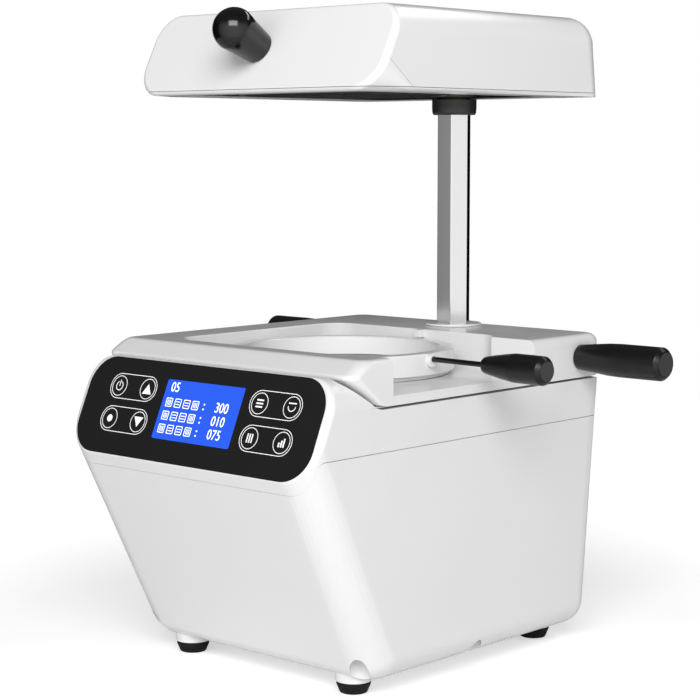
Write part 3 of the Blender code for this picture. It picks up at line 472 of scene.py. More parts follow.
def ease_edges(piece, width, angle=40.0, steps=2, where=None):
    """Rounds the sharp edges of a cut piece a little, as a mould does."""
    work = bmesh.new()
    work.from_mesh(piece.data)
    bmesh.ops.remove_doubles(work, verts=work.verts, dist=TINY)
    bmesh.ops.dissolve_degenerate(work, edges=work.edges, dist=TINY)
    bmesh.ops.dissolve_limit(work, angle_limit=math.radians(0.1), verts=work.verts, edges=work.edges)
    edges = []
    for edge in work.edges:
        if len(edge.link_faces) == 2 and edge.is_convex and edge.calc_face_angle() > math.radians(angle):
            if where is None or where((edge.verts[0].co + edge.verts[1].co) / 2):
                edges.append(edge)
    bmesh.ops.bevel(
        work, geom=edges, offset=width, offset_type="OFFSET", segments=steps, profile=0.5,
        affect="EDGES", clamp_overlap=True,
    )
    work.to_mesh(piece.data)
    work.free()
    return piece


def rim_fillet(corner, inward, back, radius, steps=6):
    """An arc that rounds the corner between two faces, given the way that each leaves it."""
    inward, back = inward.normalized(), back.normalized()
    half_angle = inward.angle(back) / 2
    centre = corner + (inward + back).normalized() * radius / math.sin(half_angle)
    start = corner + inward * radius / math.tan(half_angle) - centre
    end = corner + back * radius / math.tan(half_angle) - centre
    return [centre + start.slerp(end, k / steps) * radius for k in range(steps + 1)]


def face_rim(outline, origin, tilt, back_of, radius_of):
    """The filleted rim of a face that leans back by tilt. The outline is (right, up) points."""
    up = Vector((0.0, math.sin(tilt), math.cos(tilt)))
    right = Vector((1.0, 0.0, 0.0))
    points = []
    count = len(outline)
    for i, (u, v) in enumerate(outline):
        before, after = Vector(outline[i - 1]), Vector(outline[(i + 1) % count])
        along = (after - before).normalized()
        tangent = right * along.x + up * along.y
        inward = right * -along.y + up * along.x
        spot = origin + right * u + up * v
        back = back_of(spot, u, v)
        back = back - tangent * back.dot(tangent)
        points += rim_fillet(spot, inward, back, radius_of(abs(along.y)))
    return points


# ---------------------------------------------------------------- the base

def panel_centre():
    half = PANEL_HEIGHT / 2
    return Vector((0.0, PANEL_BASE_Y + half * math.sin(PANEL_TILT),
        PANEL_BASE_Z + half * math.cos(PANEL_TILT)))


def face_outline(half, top, bottom, top_corner, low_corner, steps=10):
    """A face's outline, anticlockwise from its lower left, with elliptical corners."""
    quarters = (
        (-half + low_corner[0], bottom + low_corner[1], low_corner, 180),
        (half - low_corner[0], bottom + low_corner[1], low_corner, 270),
        (half - top_corner[0], top - top_corner[1], top_corner, 0),
        (-half + top_corner[0], top - top_corner[1], top_corner, 90),
    )
    points = []
    for x, y, (a, b), start in quarters:
        for k in range(steps + 1):
            angle = math.radians(start + 90 * k / steps)
            points.append((x + a * math.cos(angle), y + b * math.sin(angle)))
    return points


def base_hull(name, surface, inset=0.0):
    """The base's outer form: sloping front, tilted panel face with a filleted rim, round bottom."""
    half, rear, bottom = HALF_WIDTH - inset, BASE_REAR - inset, BASE_BOTTOM + inset
    low_half, low_rear = half - DRAFT * 0.82, rear - REAR_DRAFT * 0.82
    points = []
    # The bottom's round corners: tori, whose tube is the bottom's rounding
    slope_centre = SLOPE_Y - (bottom + BOTTOM_ROUND - SLOPE_Z) * math.tan(SLOPE)
    slope_centre += (BOTTOM_ROUND + inset) / math.cos(SLOPE)
    swing = SLOPE_CORNER - BOTTOM_ROUND
    corners = (
        (low_half - SLOPE_CORNER, slope_centre + swing, swing, -90, 0),
        (low_half - BOTTOM_ROUND, low_rear - BOTTOM_ROUND, 0.0, 0, 90),
    )
    for x, y, ring, start, end in corners:
        for i in range(13):
            turn = math.radians(start + (end - start) * i / 12)
            for k in range(13):
                dip = math.radians(90 * k / 12)
                reach = ring + BOTTOM_ROUND * math.cos(dip)
                height = bottom + BOTTOM_ROUND * (1 - math.sin(dip))
                points.append((x + reach * math.cos(turn), y + reach * math.sin(turn), height))
    # The rear's upright corners
    for z in (SEAM_Z, LIP_Z - BROW_ROUND):
        for x, y in arc((half - REAR_CORNER, rear - REAR_CORNER), REAR_CORNER, 0, 90, 10):
            points.append((x, y, z))
    for x, z in arc((half - BROW_ROUND, LIP_Z - inset - BROW_ROUND), BROW_ROUND, 0, 90, 12):
        points.append((x, rear - 0.004, z))
    # The panel face's rim
    top = PANEL_HEIGHT / 2 - inset
    low = -PANEL_HEIGHT / 2 - 0.0002 + inset
    outline = face_outline(half, top, low, (BROW_ROUND, BROW_ROUND / math.cos(PANEL_TILT)),
        (SLOPE_CORNER, 0.0315), 12)
    origin = panel_centre() + Vector((0.0, inset * math.cos(PANEL_TILT), -inset * math.sin(PANEL_TILT)))
    level = Vector((0.0, 1.0, 0.0))
    down = Vector((0.0, math.sin(SLOPE), -math.cos(SLOPE)))
    rim = face_rim(
        outline, origin, PANEL_TILT,
        lambda spot, u, v: level if v > -0.001 else down,
        lambda side: 0.0021 + 0.0027 * side,
    )
    points += [tuple(point) for point in rim]
    points += [(-x, y, z) for x, y, z in points]
    return hull(name, points, surface)


def seam_outline(shift, above):
    """The joint of the tub and the housing from the side, and the space above or below it."""
    limit = 0.260 if above else -0.050
    corners = [
        (-0.190, SLOPE_Z + shift, 0), (SLOPE_Y + 0.001, SLOPE_Z + shift, 0.004),
        (SEAM_Y, SEAM_Z + shift, 0.005), (0.200, SEAM_Z + shift, 0),
        (0.200, limit, 0), (-0.190, limit, 0),
    ]
    return rounded(corners, 6)


def deck_space(name, wall=0.0):
    """The space over the deck that the carriage takes, with its rise at the front."""
    corners = [
        (0.200, DECK_Z, 0), (-0.0880, DECK_Z, 0.017), (-0.1160, 0.2098, 0.006),
        (-0.1180, 0.2150, 0), (-0.1180, 0.260, 0), (0.200, 0.260, 0),
    ]
    outline = rounded([(y - 0.6 * wall, z - wall, radius) for y, z, radius in corners], 8)
    return prism(name, outline, -0.150, 0.150, WHITE, "X")


def tub():
    wall = 0.0028
    piece = base_hull("tub_shell", WHITE)
    inner = base_hull("tub_inner", WHITE, wall)
    wells, sleeves = [], []
    for side in (-1, 1):
        for x, y in ((0.0941, -0.0829), (0.1022, 0.0205)):
            spot = (side * x, y, 0.0)
            wells.append(turned(f"well_{side}_{x}",
                [(0.0, 0.0), (0.0068, 0.0), (0.0068, 0.036), (0.0, 0.036)], WHITE, spot))
            sleeves.append(turned(f"sleeve_{side}_{x}",
                [(0.0, 0.0), (0.0090, 0.0), (0.0090, 0.040), (0.0, 0.040)], WHITE, spot, 32))
    combine(inner, sleeves)
    piece = combine(piece, [inner, prism("above", seam_outline(0.0, True), -0.150, 0.150, WHITE, "X")])
    ease_edges(piece, 0.0004, 40.0, 2, lambda spot: spot.z > 0.100)
    posts = []
    for x, y in FEET:
        posts.append(turned(f"post_{x}_{y}",
            soften([(0.0, 0.0078), (0.0122, 0.0078), (0.0125, 0.026), (0.0, 0.026)], 0.0006), WHITE,
            (x, y, 0.0), 64))
    combine(piece, posts, "UNION")
    holes = wells + [
        box("inlet_hole", (-0.0740, 0.140, 0.0495), (-0.0460, 0.160, 0.0705), WHITE),
        box("switch_hole", (-0.0710, 0.140, 0.0818), (-0.0490, 0.160, 0.1102), WHITE),
    ]
    for row in range(5):
        z = 0.115 + (row - 2) * 0.0055
        holes.append(prism(f"slot_{row}", rounded(rectangle(0.013, 0.0014, 0.0013, (0.046, z)), 6), 0.140,
            0.160, WHITE, "Y"))
    for x, y in FEET:
        holes.append(turned(f"screw_hole_{x}_{y}",
            [(0.0, 0.0), (0.0023, 0.0), (0.0023, 0.022), (0.0, 0.022)], WHITE, (x, y, 0.0), 24))
    holes.append(turned("bolt_hole", [(0.0, 0.0), (0.0045, 0.0), (0.0045, 0.030), (0.0, 0.030)], WHITE,
        (0.0, COLUMN_Y, 0.0), 32))
    combine(piece, holes)
    return place_on(piece, "base", "white_plastic", "base_tub")


FEET = [(side * 0.0765, y) for side in (-1, 1) for y in (-0.0696, COLUMN_Y)]


def panel_piece(name, outline, low, high, surface):
    """A prism on the panel's face, from low to high out of it."""
    piece = prism(name, outline, low, high, surface)
    lay_on_panel(piece)
    return piece


def lay_on_panel(piece):
    place = Matrix.Translation(panel_centre()) @ Matrix.Rotation(math.pi / 2 - PANEL_TILT, 4, "X")
    piece.data.transform(place)


def housing():
    wall = 0.0028
    piece = base_hull("housing_shell", WHITE)
    inner = base_hull("housing_inner", WHITE, wall)
    combine(inner, [deck_space("inner_deck", wall)])
    half_x, half_y = PANEL_WIDTH / 2 + 0.0002, PANEL_HEIGHT / 2 - 0.0002
    lcd_x, lcd_y = LCD_WIDTH / 2 + 0.001, LCD_HEIGHT / 2 + 0.001
    combine(piece, [
        inner,
        prism("below", seam_outline(SEAM, False), -0.150, 0.150, WHITE, "X"),
        deck_space("deck_space"),
    ])
    ease_edges(piece, 0.0010, 40.0, 3)
    combine(piece, [
        panel_piece("pocket", rounded(rectangle(half_x, half_y, PANEL_CORNER), 16), -0.0014, 0.004, WHITE),
        panel_piece("window", rounded(rectangle(lcd_x, lcd_y, 0.001, LCD_CENTRE)), -0.020, 0.004, WHITE),
        turned("platen_hole", [(0.0, 0.150), (0.0600, 0.150), (0.0600, 0.200), (0.0, 0.200)], WHITE,
        (0.0, RING_Y, 0.0)),
        turned("column_hole", [(0.0, 0.150), (0.0150, 0.150), (0.0150, 0.200), (0.0, 0.200)], WHITE,
        (0.0, COLUMN_Y, 0.0)),
    ])
    return place_on(piece, "base", "white_plastic", "upper_housing")


def overlay():
    """The black film over the panel, with a fine round edge and the display's window."""
    half_x, half_y = PANEL_WIDTH / 2, PANEL_HEIGHT / 2 - 0.0004
    rings = []
    for inset, out in ((0.0, -0.0012), (0.0, -0.00015), (0.00015, -0.00002), (0.0003, 0.0)):
        outline = rounded(rectangle(half_x - inset, half_y - inset, PANEL_CORNER - inset), 16)
        rings.append([(x, y, out) for x, y in outline])
    piece = loft("panel_overlay", rings, FILM)
    window = prism("window", rounded(rectangle(LCD_WIDTH / 2 + 0.0003, LCD_HEIGHT / 2 + 0.0003, 0.0012,
        LCD_CENTRE), 6), -0.003, 0.002, FILM)
    combine(piece, [window])
    lay_on_panel(piece)
    return place_on(piece, "base", "panel_film", "control_panel")


# ---------------------------------------------------------------- what is printed and shown

def ribbon(work, outer, inner, low, high):
    """A flat closed band between two outlines with the same count."""
    rings = [[work.verts.new((x, y, z)) for x, y in line] for line,
        z in ((outer, low), (outer, high), (inner, high), (inner, low))]
    count = len(outer)
    for first, second in zip(rings, rings[1:] + rings[:1]):
        for i in range(count):
            j = (i + 1) % count
            work.faces.new((first[i], first[j], second[j], second[i]))


def plate(work, outline, low, high):
    rings = [[work.verts.new((x, y, z)) for x, y in outline] for z in (low, high)]
    count = len(outline)
    for i in range(count):
        j = (i + 1) % count
        work.faces.new((rings[0][i], rings[0][j], rings[1][j], rings[1][i]))
    work.faces.new(list(reversed(rings[0])))
    work.faces.new(rings[1])


PRINT_LOW, PRINT_HIGH = 0.00002, 0.00008


def printed_line(work, half_x, half_y, radius, centre, stroke):
    outer = rounded(rectangle(half_x, half_y, radius, centre), 12)
    inner = rounded(rectangle(half_x - stroke, half_y - stroke, radius - stroke, centre), 12)
    ribbon(work, outer, inner, PRINT_LOW, PRINT_HIGH)


def printed_arc(work, centre, radius, stroke, start, end):
    outer = arc(centre, radius, start, end, 20)
    inner = arc(centre, radius - stroke, end, start, 20)
    plate(work, outer + inner, PRINT_LOW, PRINT_HIGH)


def printed_bar(work, x, y, half_x, half_y):
    plate(work, rounded(rectangle(half_x, half_y, min(half_x, half_y) * 0.45, (x, y)), 4), PRINT_LOW,
        PRINT_HIGH)


def key_print():
    """The keys: four pills of two round keys each, with plain symbols in place of words."""
    work = bmesh.new()
    rows = (0.0135, -0.0094)
    pairs = ((-0.0790, -0.0510), (0.0541, 0.0820))
    key, stroke = 0.0071, 0.00045
    for left, right in pairs:
        for y in rows:
            middle, reach = (left + right) / 2, (right - left) / 2
            printed_line(work, reach + 0.0088, 0.0088, 0.0087, (middle, y), stroke)
            for x in (left, right):
                printed_line(work, key, key, key - 0.00005, (x, y), stroke)
    left, right = pairs[0]
    printed_arc(work, (left, rows[0]), 0.0034, 0.0006, -245, 65)
    printed_bar(work, left, rows[0] + 0.0020, 0.0003, 0.0022)
    side, tall = 0.0043, 0.0035
    plate(work, [(right - side, rows[0] - tall), (right + side, rows[0] - tall), (right, rows[0] + tall)],
        PRINT_LOW, PRINT_HIGH)
    plate(work, [(right + side, rows[1] + tall), (right - side, rows[1] + tall), (right, rows[1] - tall)],
        PRINT_LOW, PRINT_HIGH)
    plate(work, circle(0.0025, 32, (left, rows[1])), PRINT_LOW, PRINT_HIGH)
    left, right = pairs[1]
    # mode: three bars; vacuum: a cup with a line over it; heat: three waves; strength: rising steps
    for step in (-1, 0, 1):
        printed_bar(work, left, rows[0] + step * 0.0022, 0.0030, 0.0005)
        printed_bar(work, left + step * 0.0020, rows[1], 0.0005, 0.0030)
        printed_bar(work, right + step * 0.0020, rows[1] - 0.0008 + step * 0.0007, 0.0006,
            0.0022 + step * 0.0007)
    printed_arc(work, (right, rows[0] + 0.0006), 0.0034, 0.0006, 180, 360)
    printed_bar(work, right, rows[0] + 0.0026, 0.0034, 0.0004)
    piece = piece_from("key_print", work, PRINT_PAINTED_GLOW)
    lay_on_panel(piece)
    return place_on(piece, "base", "panel_film")


def display():
    """The blue display, just under the overlay's face, with numbers and plain bars."""
    half_x, half_y = LCD_WIDTH / 2, LCD_HEIGHT / 2
    piece = panel_piece("display_glass", rounded(rectangle(half_x, half_y, 0.0010, LCD_CENTRE), 6), -0.0090,
        -0.0002, BLUE)
    back = panel_piece("display_back", rounded(rectangle(0.042, 0.024, 0.001, LCD_CENTRE), 4), -0.0110,
        -0.0046, BLUE)
    combine(piece, [back], "UNION")
    place_on(piece, "base", "display", "lcd_module")

    work = bmesh.new()
    low, high = -0.00018, -0.00012
    rows = (0.0067, -0.0023, -0.0112)
    for y in rows:
        for k in range(4):
            x = -0.0272 + k * 0.0083
            glyph_block(work, x, y, (k + round(y * 1000)) % 3, low, high)
        for up in (0.0014, -0.0018):
            plate(work, rounded(rectangle(0.00055, 0.00055, 0.0003, (0.0058, y + up)), 3), low, high)
    marks = piece_from("display_marks", work, SEGMENT)
    lay_on_panel(marks)
    place_on(marks, "base", "display")
    for text, x, y in (("05", -0.0292, 0.0141), ("300", 0.0160, 0.0040), ("010", 0.0160, -0.0050),
        ("075", 0.0160, -0.0139)):
        number(text, x, y, low, high)


def glyph_block(work, x, y, kind, low, high):
    """A plain block of strokes that stands where the real display has a word."""
    line = 0.00024
    half = 0.0030
    outer = rounded(rectangle(half, half, 0.0006, (x, y)), 3)
    inner = rounded(rectangle(half - 2 * line, half - 2 * line, 0.0003, (x, y)), 3)
    rings = [[work.verts.new((a, b, z)) for a, b in ring] for ring,
        z in ((outer, low), (outer, high), (inner, high), (inner, low))]
    count = len(outer)
    for first, second in zip(rings, rings[1:] + rings[:1]):
        for i in range(count):
            j = (i + 1) % count
            work.faces.new((first[i], first[j], second[j], second[i]))
    if kind != 1:
        for step in (-1, 1):
            plate(work, rounded(rectangle(half - 5 * line, line, 0.0001, (x, y + step * 0.0009)), 2), low,
                high)
    if kind == 1:
        for step in (-1, 0, 1):
            plate(work, rounded(rectangle(line, half - 5 * line, 0.0001, (x + step * 0.0013, y)), 2), low,
                high)


def number(text, x, y, low, high):
    curve = bpy.data.curves.new("number_" + text, "FONT")
    curve.body = text
    curve.size = 0.0094
    curve.space_character = 1.02
    curve.extrude = (high - low) / 2
    curve.resolution_u = 6
    maker = bpy.data.objects.new("number_maker", curve)
    bpy.context.scene.collection.objects.link(maker)
    graph = bpy.context.evaluated_depsgraph_get()
    mesh = bpy.data.meshes.new_from_object(maker.evaluated_get(graph))
    bpy.data.objects.remove(maker)
    mesh.transform(Matrix.Translation((x, y, (low + high) / 2)) @ Matrix.Diagonal((0.86, 1.0, 1.0, 1.0)))
    mesh.materials.clear()
    mesh.materials.append(SEGMENT)
    piece = bpy.data.objects.new("number_" + text, mesh)
    bpy.context.scene.collection.objects.link(piece)
    lay_on_panel(piece)
    place_on(piece, "base", "display")


# ---------------------------------------------------------------- the carriage

def carriage_profile():
    """The nose from the side, as (y, z) points from its underside to its top."""
    corners = [
        (-0.050, 0.1920, 0), (-0.0858, 0.1920, 0.016), (-0.1150, 0.2120, 0.0022),
        (-0.0992, CARRIAGE_TOP, 0.0075), (-0.050, CARRIAGE_TOP, 0),
    ]
    outline = rounded(corners, 8)
    return outline[1:-1]


def carriage_front(profile, z):
    for (y_low, z_low), (y_high, z_high) in zip(profile, profile[1:]):
        if z_low <= z <= z_high:
            share = (z - z_low) / max(z_high - z_low, 1e-9)
            return y_low + (y_high - y_low) * share
    return profile[-1][0]


def carriage_rings(steps=8):
    top_round = 0.006
    profile = carriage_profile()
    levels = {round(z, 6) for y, z in profile}
    for k in range(steps + 1):
        levels.add(round(CARRIAGE_TOP - top_round * (1 - math.sin(math.radians(90 * k / steps))), 6))
    levels = sorted(levels)
    kept = [levels[0]]
    for z in levels[1:]:
        if z - kept[-1] > 0.00006:
            kept.append(z)
    rings = []
    for z in kept:
        reach = max(z - (CARRIAGE_TOP - top_round), 0.0)
        inset = top_round - math.sqrt(max(top_round**2 - reach**2, 0.0))
        half, rear, front = CARRIAGE_HALF - inset, CARRIAGE_REAR - inset, carriage_front(profile, z)
        right = []
        front_round = 0.003 + 0.006 * min(1.0, (z - CARRIAGE_LOW[2]) / 0.010)
        for radius, y, sign, start in ((front_round, front, -1, -90), (0.010, rear, 1, 0)):
            small = radius - inset / 2.5
            for a, b in arc((half - small, y - sign * small), small, start, start + 90, steps):
                right.append((a, b))
        ring = right + [(-x, y) for x, y in reversed(right)]
        rings.append([(x, y, z) for x, y in ring])
    return rings


def flared(name, outline_of, low, top, flare, surface):
    """A cutter that widens by flare as it reaches the top, so the edge it leaves is round."""
    rings = [[(x, y, low) for x, y in outline_of(0.0)]]
    for k in range(7):
        angle = math.radians(84 * k / 6)
        rings.append([(x, y, top - flare * (1 - math.sin(angle))) for x,
            y in outline_of(flare * (1 - math.cos(angle)))])
    rings.append([(x, y, top + 0.020) for x, y in outline_of(flare * 1.05)])
    return loft(name, rings, surface)


def carriage():
    piece = loft("carriage_frame", carriage_rings(), WHITE)
    middle, depth = (RECESS_FRONT + RECESS_REAR) / 2, (RECESS_REAR - RECESS_FRONT) / 2

    def recess(grow):
        return rounded(rectangle(RECESS_HALF + grow, depth + grow, RECESS_CORNER + grow, (0.0, middle)), 12)

    def notch(grow):
        low, high = NOTCH_FRONT - grow, NOTCH_REAR + grow
        return [(0.055, low), (0.140, low), (0.140, high), (0.055, high)]

    cutters = [
        flared("recess", recess, FLOOR_Z, CARRIAGE_TOP, 0.0009, WHITE),
        flared("notch", notch, FLOOR_Z + 0.00001, CARRIAGE_TOP, 0.0009, WHITE),
        turned("film_hole", [(0.0, 0.180), (0.070, 0.180), (0.070, 0.210), (0.0, 0.210)], WHITE,
        (0.0, RING_Y, 0.0), 128),
        turned("bore", [(0.0, 0.180), (0.0160, 0.180), (0.0160, 0.230), (0.0, 0.230)], WHITE,
        (0.0, COLUMN_Y, 0.0), 64),
        box("rear_left", (-0.1105, 0.0870, 0.180), (-0.0240, 0.1440, 0.2190), WHITE),
        box("rear_right", (0.0240, 0.0870, 0.180), (0.1105, 0.1440, 0.2190), WHITE),
        box("left", (-0.1105, -0.0790, 0.180), (-0.0830, 0.0790, 0.2190), WHITE),
    ]
    for side in (-1, 1):
        cutters.append(turned(f"stud_{side}",
            [(0.0, 0.100), (0.0043, 0.100), (0.0043, 0.130), (0.0, 0.130)], WHITE, (0.0, 0.0, 0.0), 32, "X"))
        if side < 0:
            cutters[-1].data.transform(Matrix.Rotation(math.pi, 4, "Z"))
        cutters[-1].data.transform(Matrix.Translation((0.0, COLUMN_Y, HANDLE_Z)))
    combine(piece, cutters)
    lug = prism("lug", rounded(rectangle(0.0028, 0.0036, 0.0008, (0.0048, 0.0806)), 4), RING_TOP + 0.0006,
        CARRIAGE_TOP - 0.0002, WHITE)
    combine(piece, [lug], "UNION")
    return place_on(piece, "carriage", "white_plastic", "carriage")


def carriage_fittings():
    top = CARRIAGE_TOP + 0.0002
    profile = soften([(0.0130, 0.1930), (0.0157, 0.1930), (0.0157, top), (0.0207, top), (0.0207, 0.2238),
        (0.0130, 0.2238)], 0.0006)
    solid = [(0.0, 0.1930)] + profile[1:-1] + [(0.0, 0.2238)]
    bushing = turned("bushing", solid, WHITE, (0.0, COLUMN_Y, 0.0))
    wide = circle((0.0222 + 0.0006) / math.sqrt(3), 6, (0.0, COLUMN_Y))
    combine(bushing, [prism("hexagon", wide, 0.180, 0.240, WHITE)])
    place_on(bushing, "carriage", "white_plastic", "column_bushing")

    seat = soften([(0.0700, 0.1983), (0.0741, 0.1983), (0.0741, 0.2006), (0.0665, 0.2006), (0.0665, 0.1983),
        (0.0700, 0.1983)], 0.0004)
    place_on(turned("seat_ring", seat[:-1], WHITE, (0.0, RING_Y, 0.0), 128), "carriage", "white_plastic",
        "film_seat")
    gasket = soften([(0.0708, 0.2009), (0.0739, 0.2009), (0.0739, 0.2024), (0.0672, 0.2024),
        (0.0672, 0.2009), (0.0708, 0.2009)], 0.0005)
    place_on(turned("gasket_ring", gasket[:-1], SILICONE, (0.0, RING_Y, 0.0), 128), "carriage", "rubber",
        "film_gasket")

    for side, name in ((1, "right"), (-1, "left")):
        start, end = CARRIAGE_HALF + 0.0003, HANDLE_END
        profile = [(0.0, start), (0.0088, start), (0.0093, 0.1200), (0.0101, 0.1290), (0.0112, 0.1400),
            (0.0116, 0.1500),
                   (0.0116, end - 0.0030), (0.0090, end - 0.0002), (0.0086, end - 0.0002),
                   (0.0, end - 0.0002)]
        grip = turned(name + "_grip", soften(profile, 0.0010, 5), GRIP, (0.0, 0.0, 0.0), 64, "X")
        disc = turned(name + "_grip_end",
            soften([(0.0, end - 0.0004), (0.0083, end - 0.0004), (0.0083, end), (0.0, end)], 0.0002),
            GRIP_END, (0.0, 0.0, 0.0), 64, "X")
        bore = turned("bore", [(0.0, 0.1000), (0.0043, 0.1000), (0.0043, 0.1410), (0.0, 0.1410)], GRIP,
            (0.0, 0.0, 0.0), 24, "X")
        combine(grip, [bore])
        for piece in (grip, disc):
            if side < 0:
                piece.data.transform(Matrix.Rotation(math.pi, 4, "Z"))
            piece.data.transform(Matrix.Translation((0.0, COLUMN_Y, HANDLE_Z)))
        place_on(grip, "carriage", "black_plastic", name + "_handle")
        place_on(disc, "carriage", "black_plastic")


# ---------------------------------------------------------------- the clamp ring and its lever

def on_lever(piece):
    turn = Matrix.Rotation(LEVER_ANGLE, 4, "Z")
    piece.data.transform(Matrix.Translation((LEVER_X, LEVER_Y,
        LEVER_Z)) @ turn @ Matrix.Translation((-LEVER_X, 0.0, 0.0)))
    return piece


def clamp_ring():
    profile = [
        (0.0700, 0.2028), (0.0758, 0.2028), (0.0758, 0.2010), (0.0775, 0.2010),
        (0.0775, RING_TOP - 0.0009), (0.0768, RING_TOP), (0.0676, RING_TOP), (0.0664, RING_TOP - 0.0010),
        (0.0652, 0.2028), (0.0700, 0.2028),
    ]
    ring = turned("clamp_ring_fine", soften(profile, 0.0007, 4)[:-1], WHITE, (0.0, RING_Y, 0.0), 160)
    boss = on_lever(turned("boss", soften([(0.0, 0.0725), (0.0047, 0.0725), (0.0047, 0.0806),
        (0.0, 0.0806)], 0.0012), WHITE, (0.0, 0.0, -0.0010), 48, "X"))
    hole = on_lever(turned("hole", [(0.0, 0.0715), (0.0021, 0.0715), (0.0021, 0.0900), (0.0, 0.0900)],
        WHITE, (0.0, 0.0, 0.0), 24, "X"))
    combine(ring, [boss], "UNION")
    combine(ring, [hole])
    place_on(ring, "clamp_ring", "white_plastic", "clamp_ring")

    rod = on_lever(turned("lever_wire", [(0.0, 0.0720), (0.0018, 0.0720), (0.0018, 0.1480), (0.0, 0.1480)],
        GLOSS, (0.0, 0.0, 0.0), 32, "X"))
    place_on(rod, "clamp_ring", "dark_steel", "lever_rod")
    end = 0.1785
    profile = [(0.0, 0.126), (0.0050, 0.126), (0.0058, 0.1285), (0.0070, 0.1350), (0.0084, 0.1440),
        (0.0095, 0.1520),
               (0.0095, end - 0.0027), (0.0070, end - 0.0002), (0.0067, end - 0.0002), (0.0, end - 0.0002)]
    grip = turned("lever_handle", soften(profile, 0.0009, 5), GRIP, (0.0, 0.0, 0.0), 64, "X")
    bore = turned("bore", [(0.0, 0.110), (0.0021, 0.110), (0.0021, 0.149), (0.0, 0.149)], GRIP,
        (0.0, 0.0, 0.0), 24, "X")
    combine(grip, [bore])
    place_on(on_lever(grip), "clamp_ring", "black_plastic", "lever_grip")
    disc = turned("lever_handle_end",
        soften([(0.0, end - 0.0004), (0.0065, end - 0.0004), (0.0065, end), (0.0, end)], 0.0002), GRIP_END,
        (0.0, 0.0, 0.0), 48, "X")
    place_on(on_lever(disc), "clamp_ring", "black_plastic")


# ---------------------------------------------------------------- the head

def head_face_y(z):
    return HEAD_FACE_Y + (z - HEAD_BOTTOM) * math.tan(HEAD_TILT)


def head_hull(name, inset=0.0):
    """The head's outer form: a leaning front face with a filleted rim and cut lower corners."""
    half, rear, top, bottom = HEAD_HALF - inset, HEAD_REAR - inset, HEAD_TOP - inset, HEAD_BOTTOM + inset
    tall = (top - bottom) / math.cos(HEAD_TILT)
    origin = Vector((0.0, head_face_y(bottom) + inset / math.cos(HEAD_TILT), bottom))
    lower = HEAD_CORNER / math.cos(HEAD_TILT)
    outline = face_outline(half, tall, 0.0, (HEAD_ROUND, HEAD_ROUND / math.cos(HEAD_TILT)),
        (HEAD_CORNER, lower), 12)
    level = Vector((0.0, 1.0, 0.0))

    def back_of(spot, u, v):
        if v < lower and abs(u) > half - HEAD_CORNER:
            return Vector((math.copysign(half, u), FACET_Y, bottom)) - spot
        return level

    rim = face_rim(outline, origin, HEAD_TILT, back_of, lambda side: 0.0026 + 0.0018 * side)
    points = [tuple(point) for point in rim]
    points.append((half, FACET_Y, bottom))
    for x, y in arc((half - REAR_CORNER, rear - REAR_CORNER), REAR_CORNER, 0, 90, 12):
        points.append((x, y, bottom))
    for i in range(13):
        turn = math.radians(90 * i / 12)
        for k in range(13):
            lift = math.radians(90 * k / 12)
            reach = HEAD_ROUND * math.cos(lift)
            points.append((half - HEAD_ROUND + reach * math.cos(turn),
                rear - HEAD_ROUND + reach * math.sin(turn),
                           top - HEAD_ROUND * (1 - math.sin(lift))))
    points += [(-x, y, z) for x, y, z in points]
    return hull(name, points, WHITE)


def head():
    cover = head_hull("head_shell")
    inner = head_hull("head_inner", HEAD_WALL)
    groove = 0.0002
    facet_top = (head_face_y(0.4100), 0.4100)
    along = Vector((facet_top[0] - FACET_Y, facet_top[1] - HEAD_SEAM_Z)).normalized()
    across = Vector((-along.y, along.x)) * groove
    start, end = Vector((FACET_Y, HEAD_SEAM_Z)), Vector(facet_top) - along * 0.0035
    line = [tuple(start + across), tuple(end + across), tuple(end - across), tuple(start - across)]
    cutters = [inner, box("cover_bottom", (-0.150, -0.150, 0.380), (0.150, 0.200, HEAD_SEAM_Z + 0.00015),
        WHITE)]
    for side in (-1, 1):
        low, high = sorted((side * (HEAD_HALF - 0.0007), side * (HEAD_HALF + 0.010)))
        cutters.append(prism(f"facet_groove_{side}", line, low, high, WHITE, "X"))
    hole = turned("knob_hole", [(0.0, -0.020), (0.0043, -0.020), (0.0043, 0.020), (0.0, 0.020)], WHITE,
        (0.0, 0.0, 0.0), 32)
    lean_on_head(hole)
    cutters.append(hole)
    combine(cover, cutters)
    place_on(cover, "head", "white_plastic", "head_cover")

    tray = head_hull("head_lower_frame")
    middle, depth = (-0.0720 + 0.1430) / 2, (0.1430 + 0.0720) / 2
    combine(tray, [
        box("tray_top", (-0.150, -0.150, HEAD_SEAM_Z - 0.0002), (0.150, 0.200, 0.460), WHITE),
        prism("opening", rounded(rectangle(0.0860, depth, 0.010, (0.0, middle)), 8), 0.380, 0.400, WHITE),
    ])
    place_on(tray, "head", "white_plastic", "head_tray")


def lean_on_head(piece):
    """Stands a piece made along Z on the head's front face, where the knob is."""
    place = Matrix.Translation((KNOB_X, head_face_y(KNOB_Z), KNOB_Z))
    piece.data.transform(place @ Matrix.Rotation(math.pi / 2 - HEAD_TILT, 4, "X"))
    return piece


def knob():
    ball, length = 0.0144, 0.0250
    profile = [(0.0, 0.0003), (0.0104, 0.0003), (0.0110, 0.0008), (0.0113, 0.0030), (0.0122, 0.0100),
        (0.0133, 0.0180)]
    for k in range(17):
        angle = math.pi / 2 * k / 17
        profile.append((ball * math.cos(angle), length + ball * math.sin(angle)))
    profile.append((0.0, length + ball))
    piece = turned("knob", profile, GLOSS, (0.0, 0.0, 0.0), 96)
    bore = turned("bore", [(0.0, -0.010), (0.0043, -0.010), (0.0043, 0.016), (0.0, 0.016)], GLOSS,
        (0.0, 0.0, 0.0), 24)
    combine(piece, [bore])
    lean_on_head(piece)
    place_on(piece, "head", "gloss_black", "head_knob")


# ---------------------------------------------------------------- the column, collar, feet and rear fittings

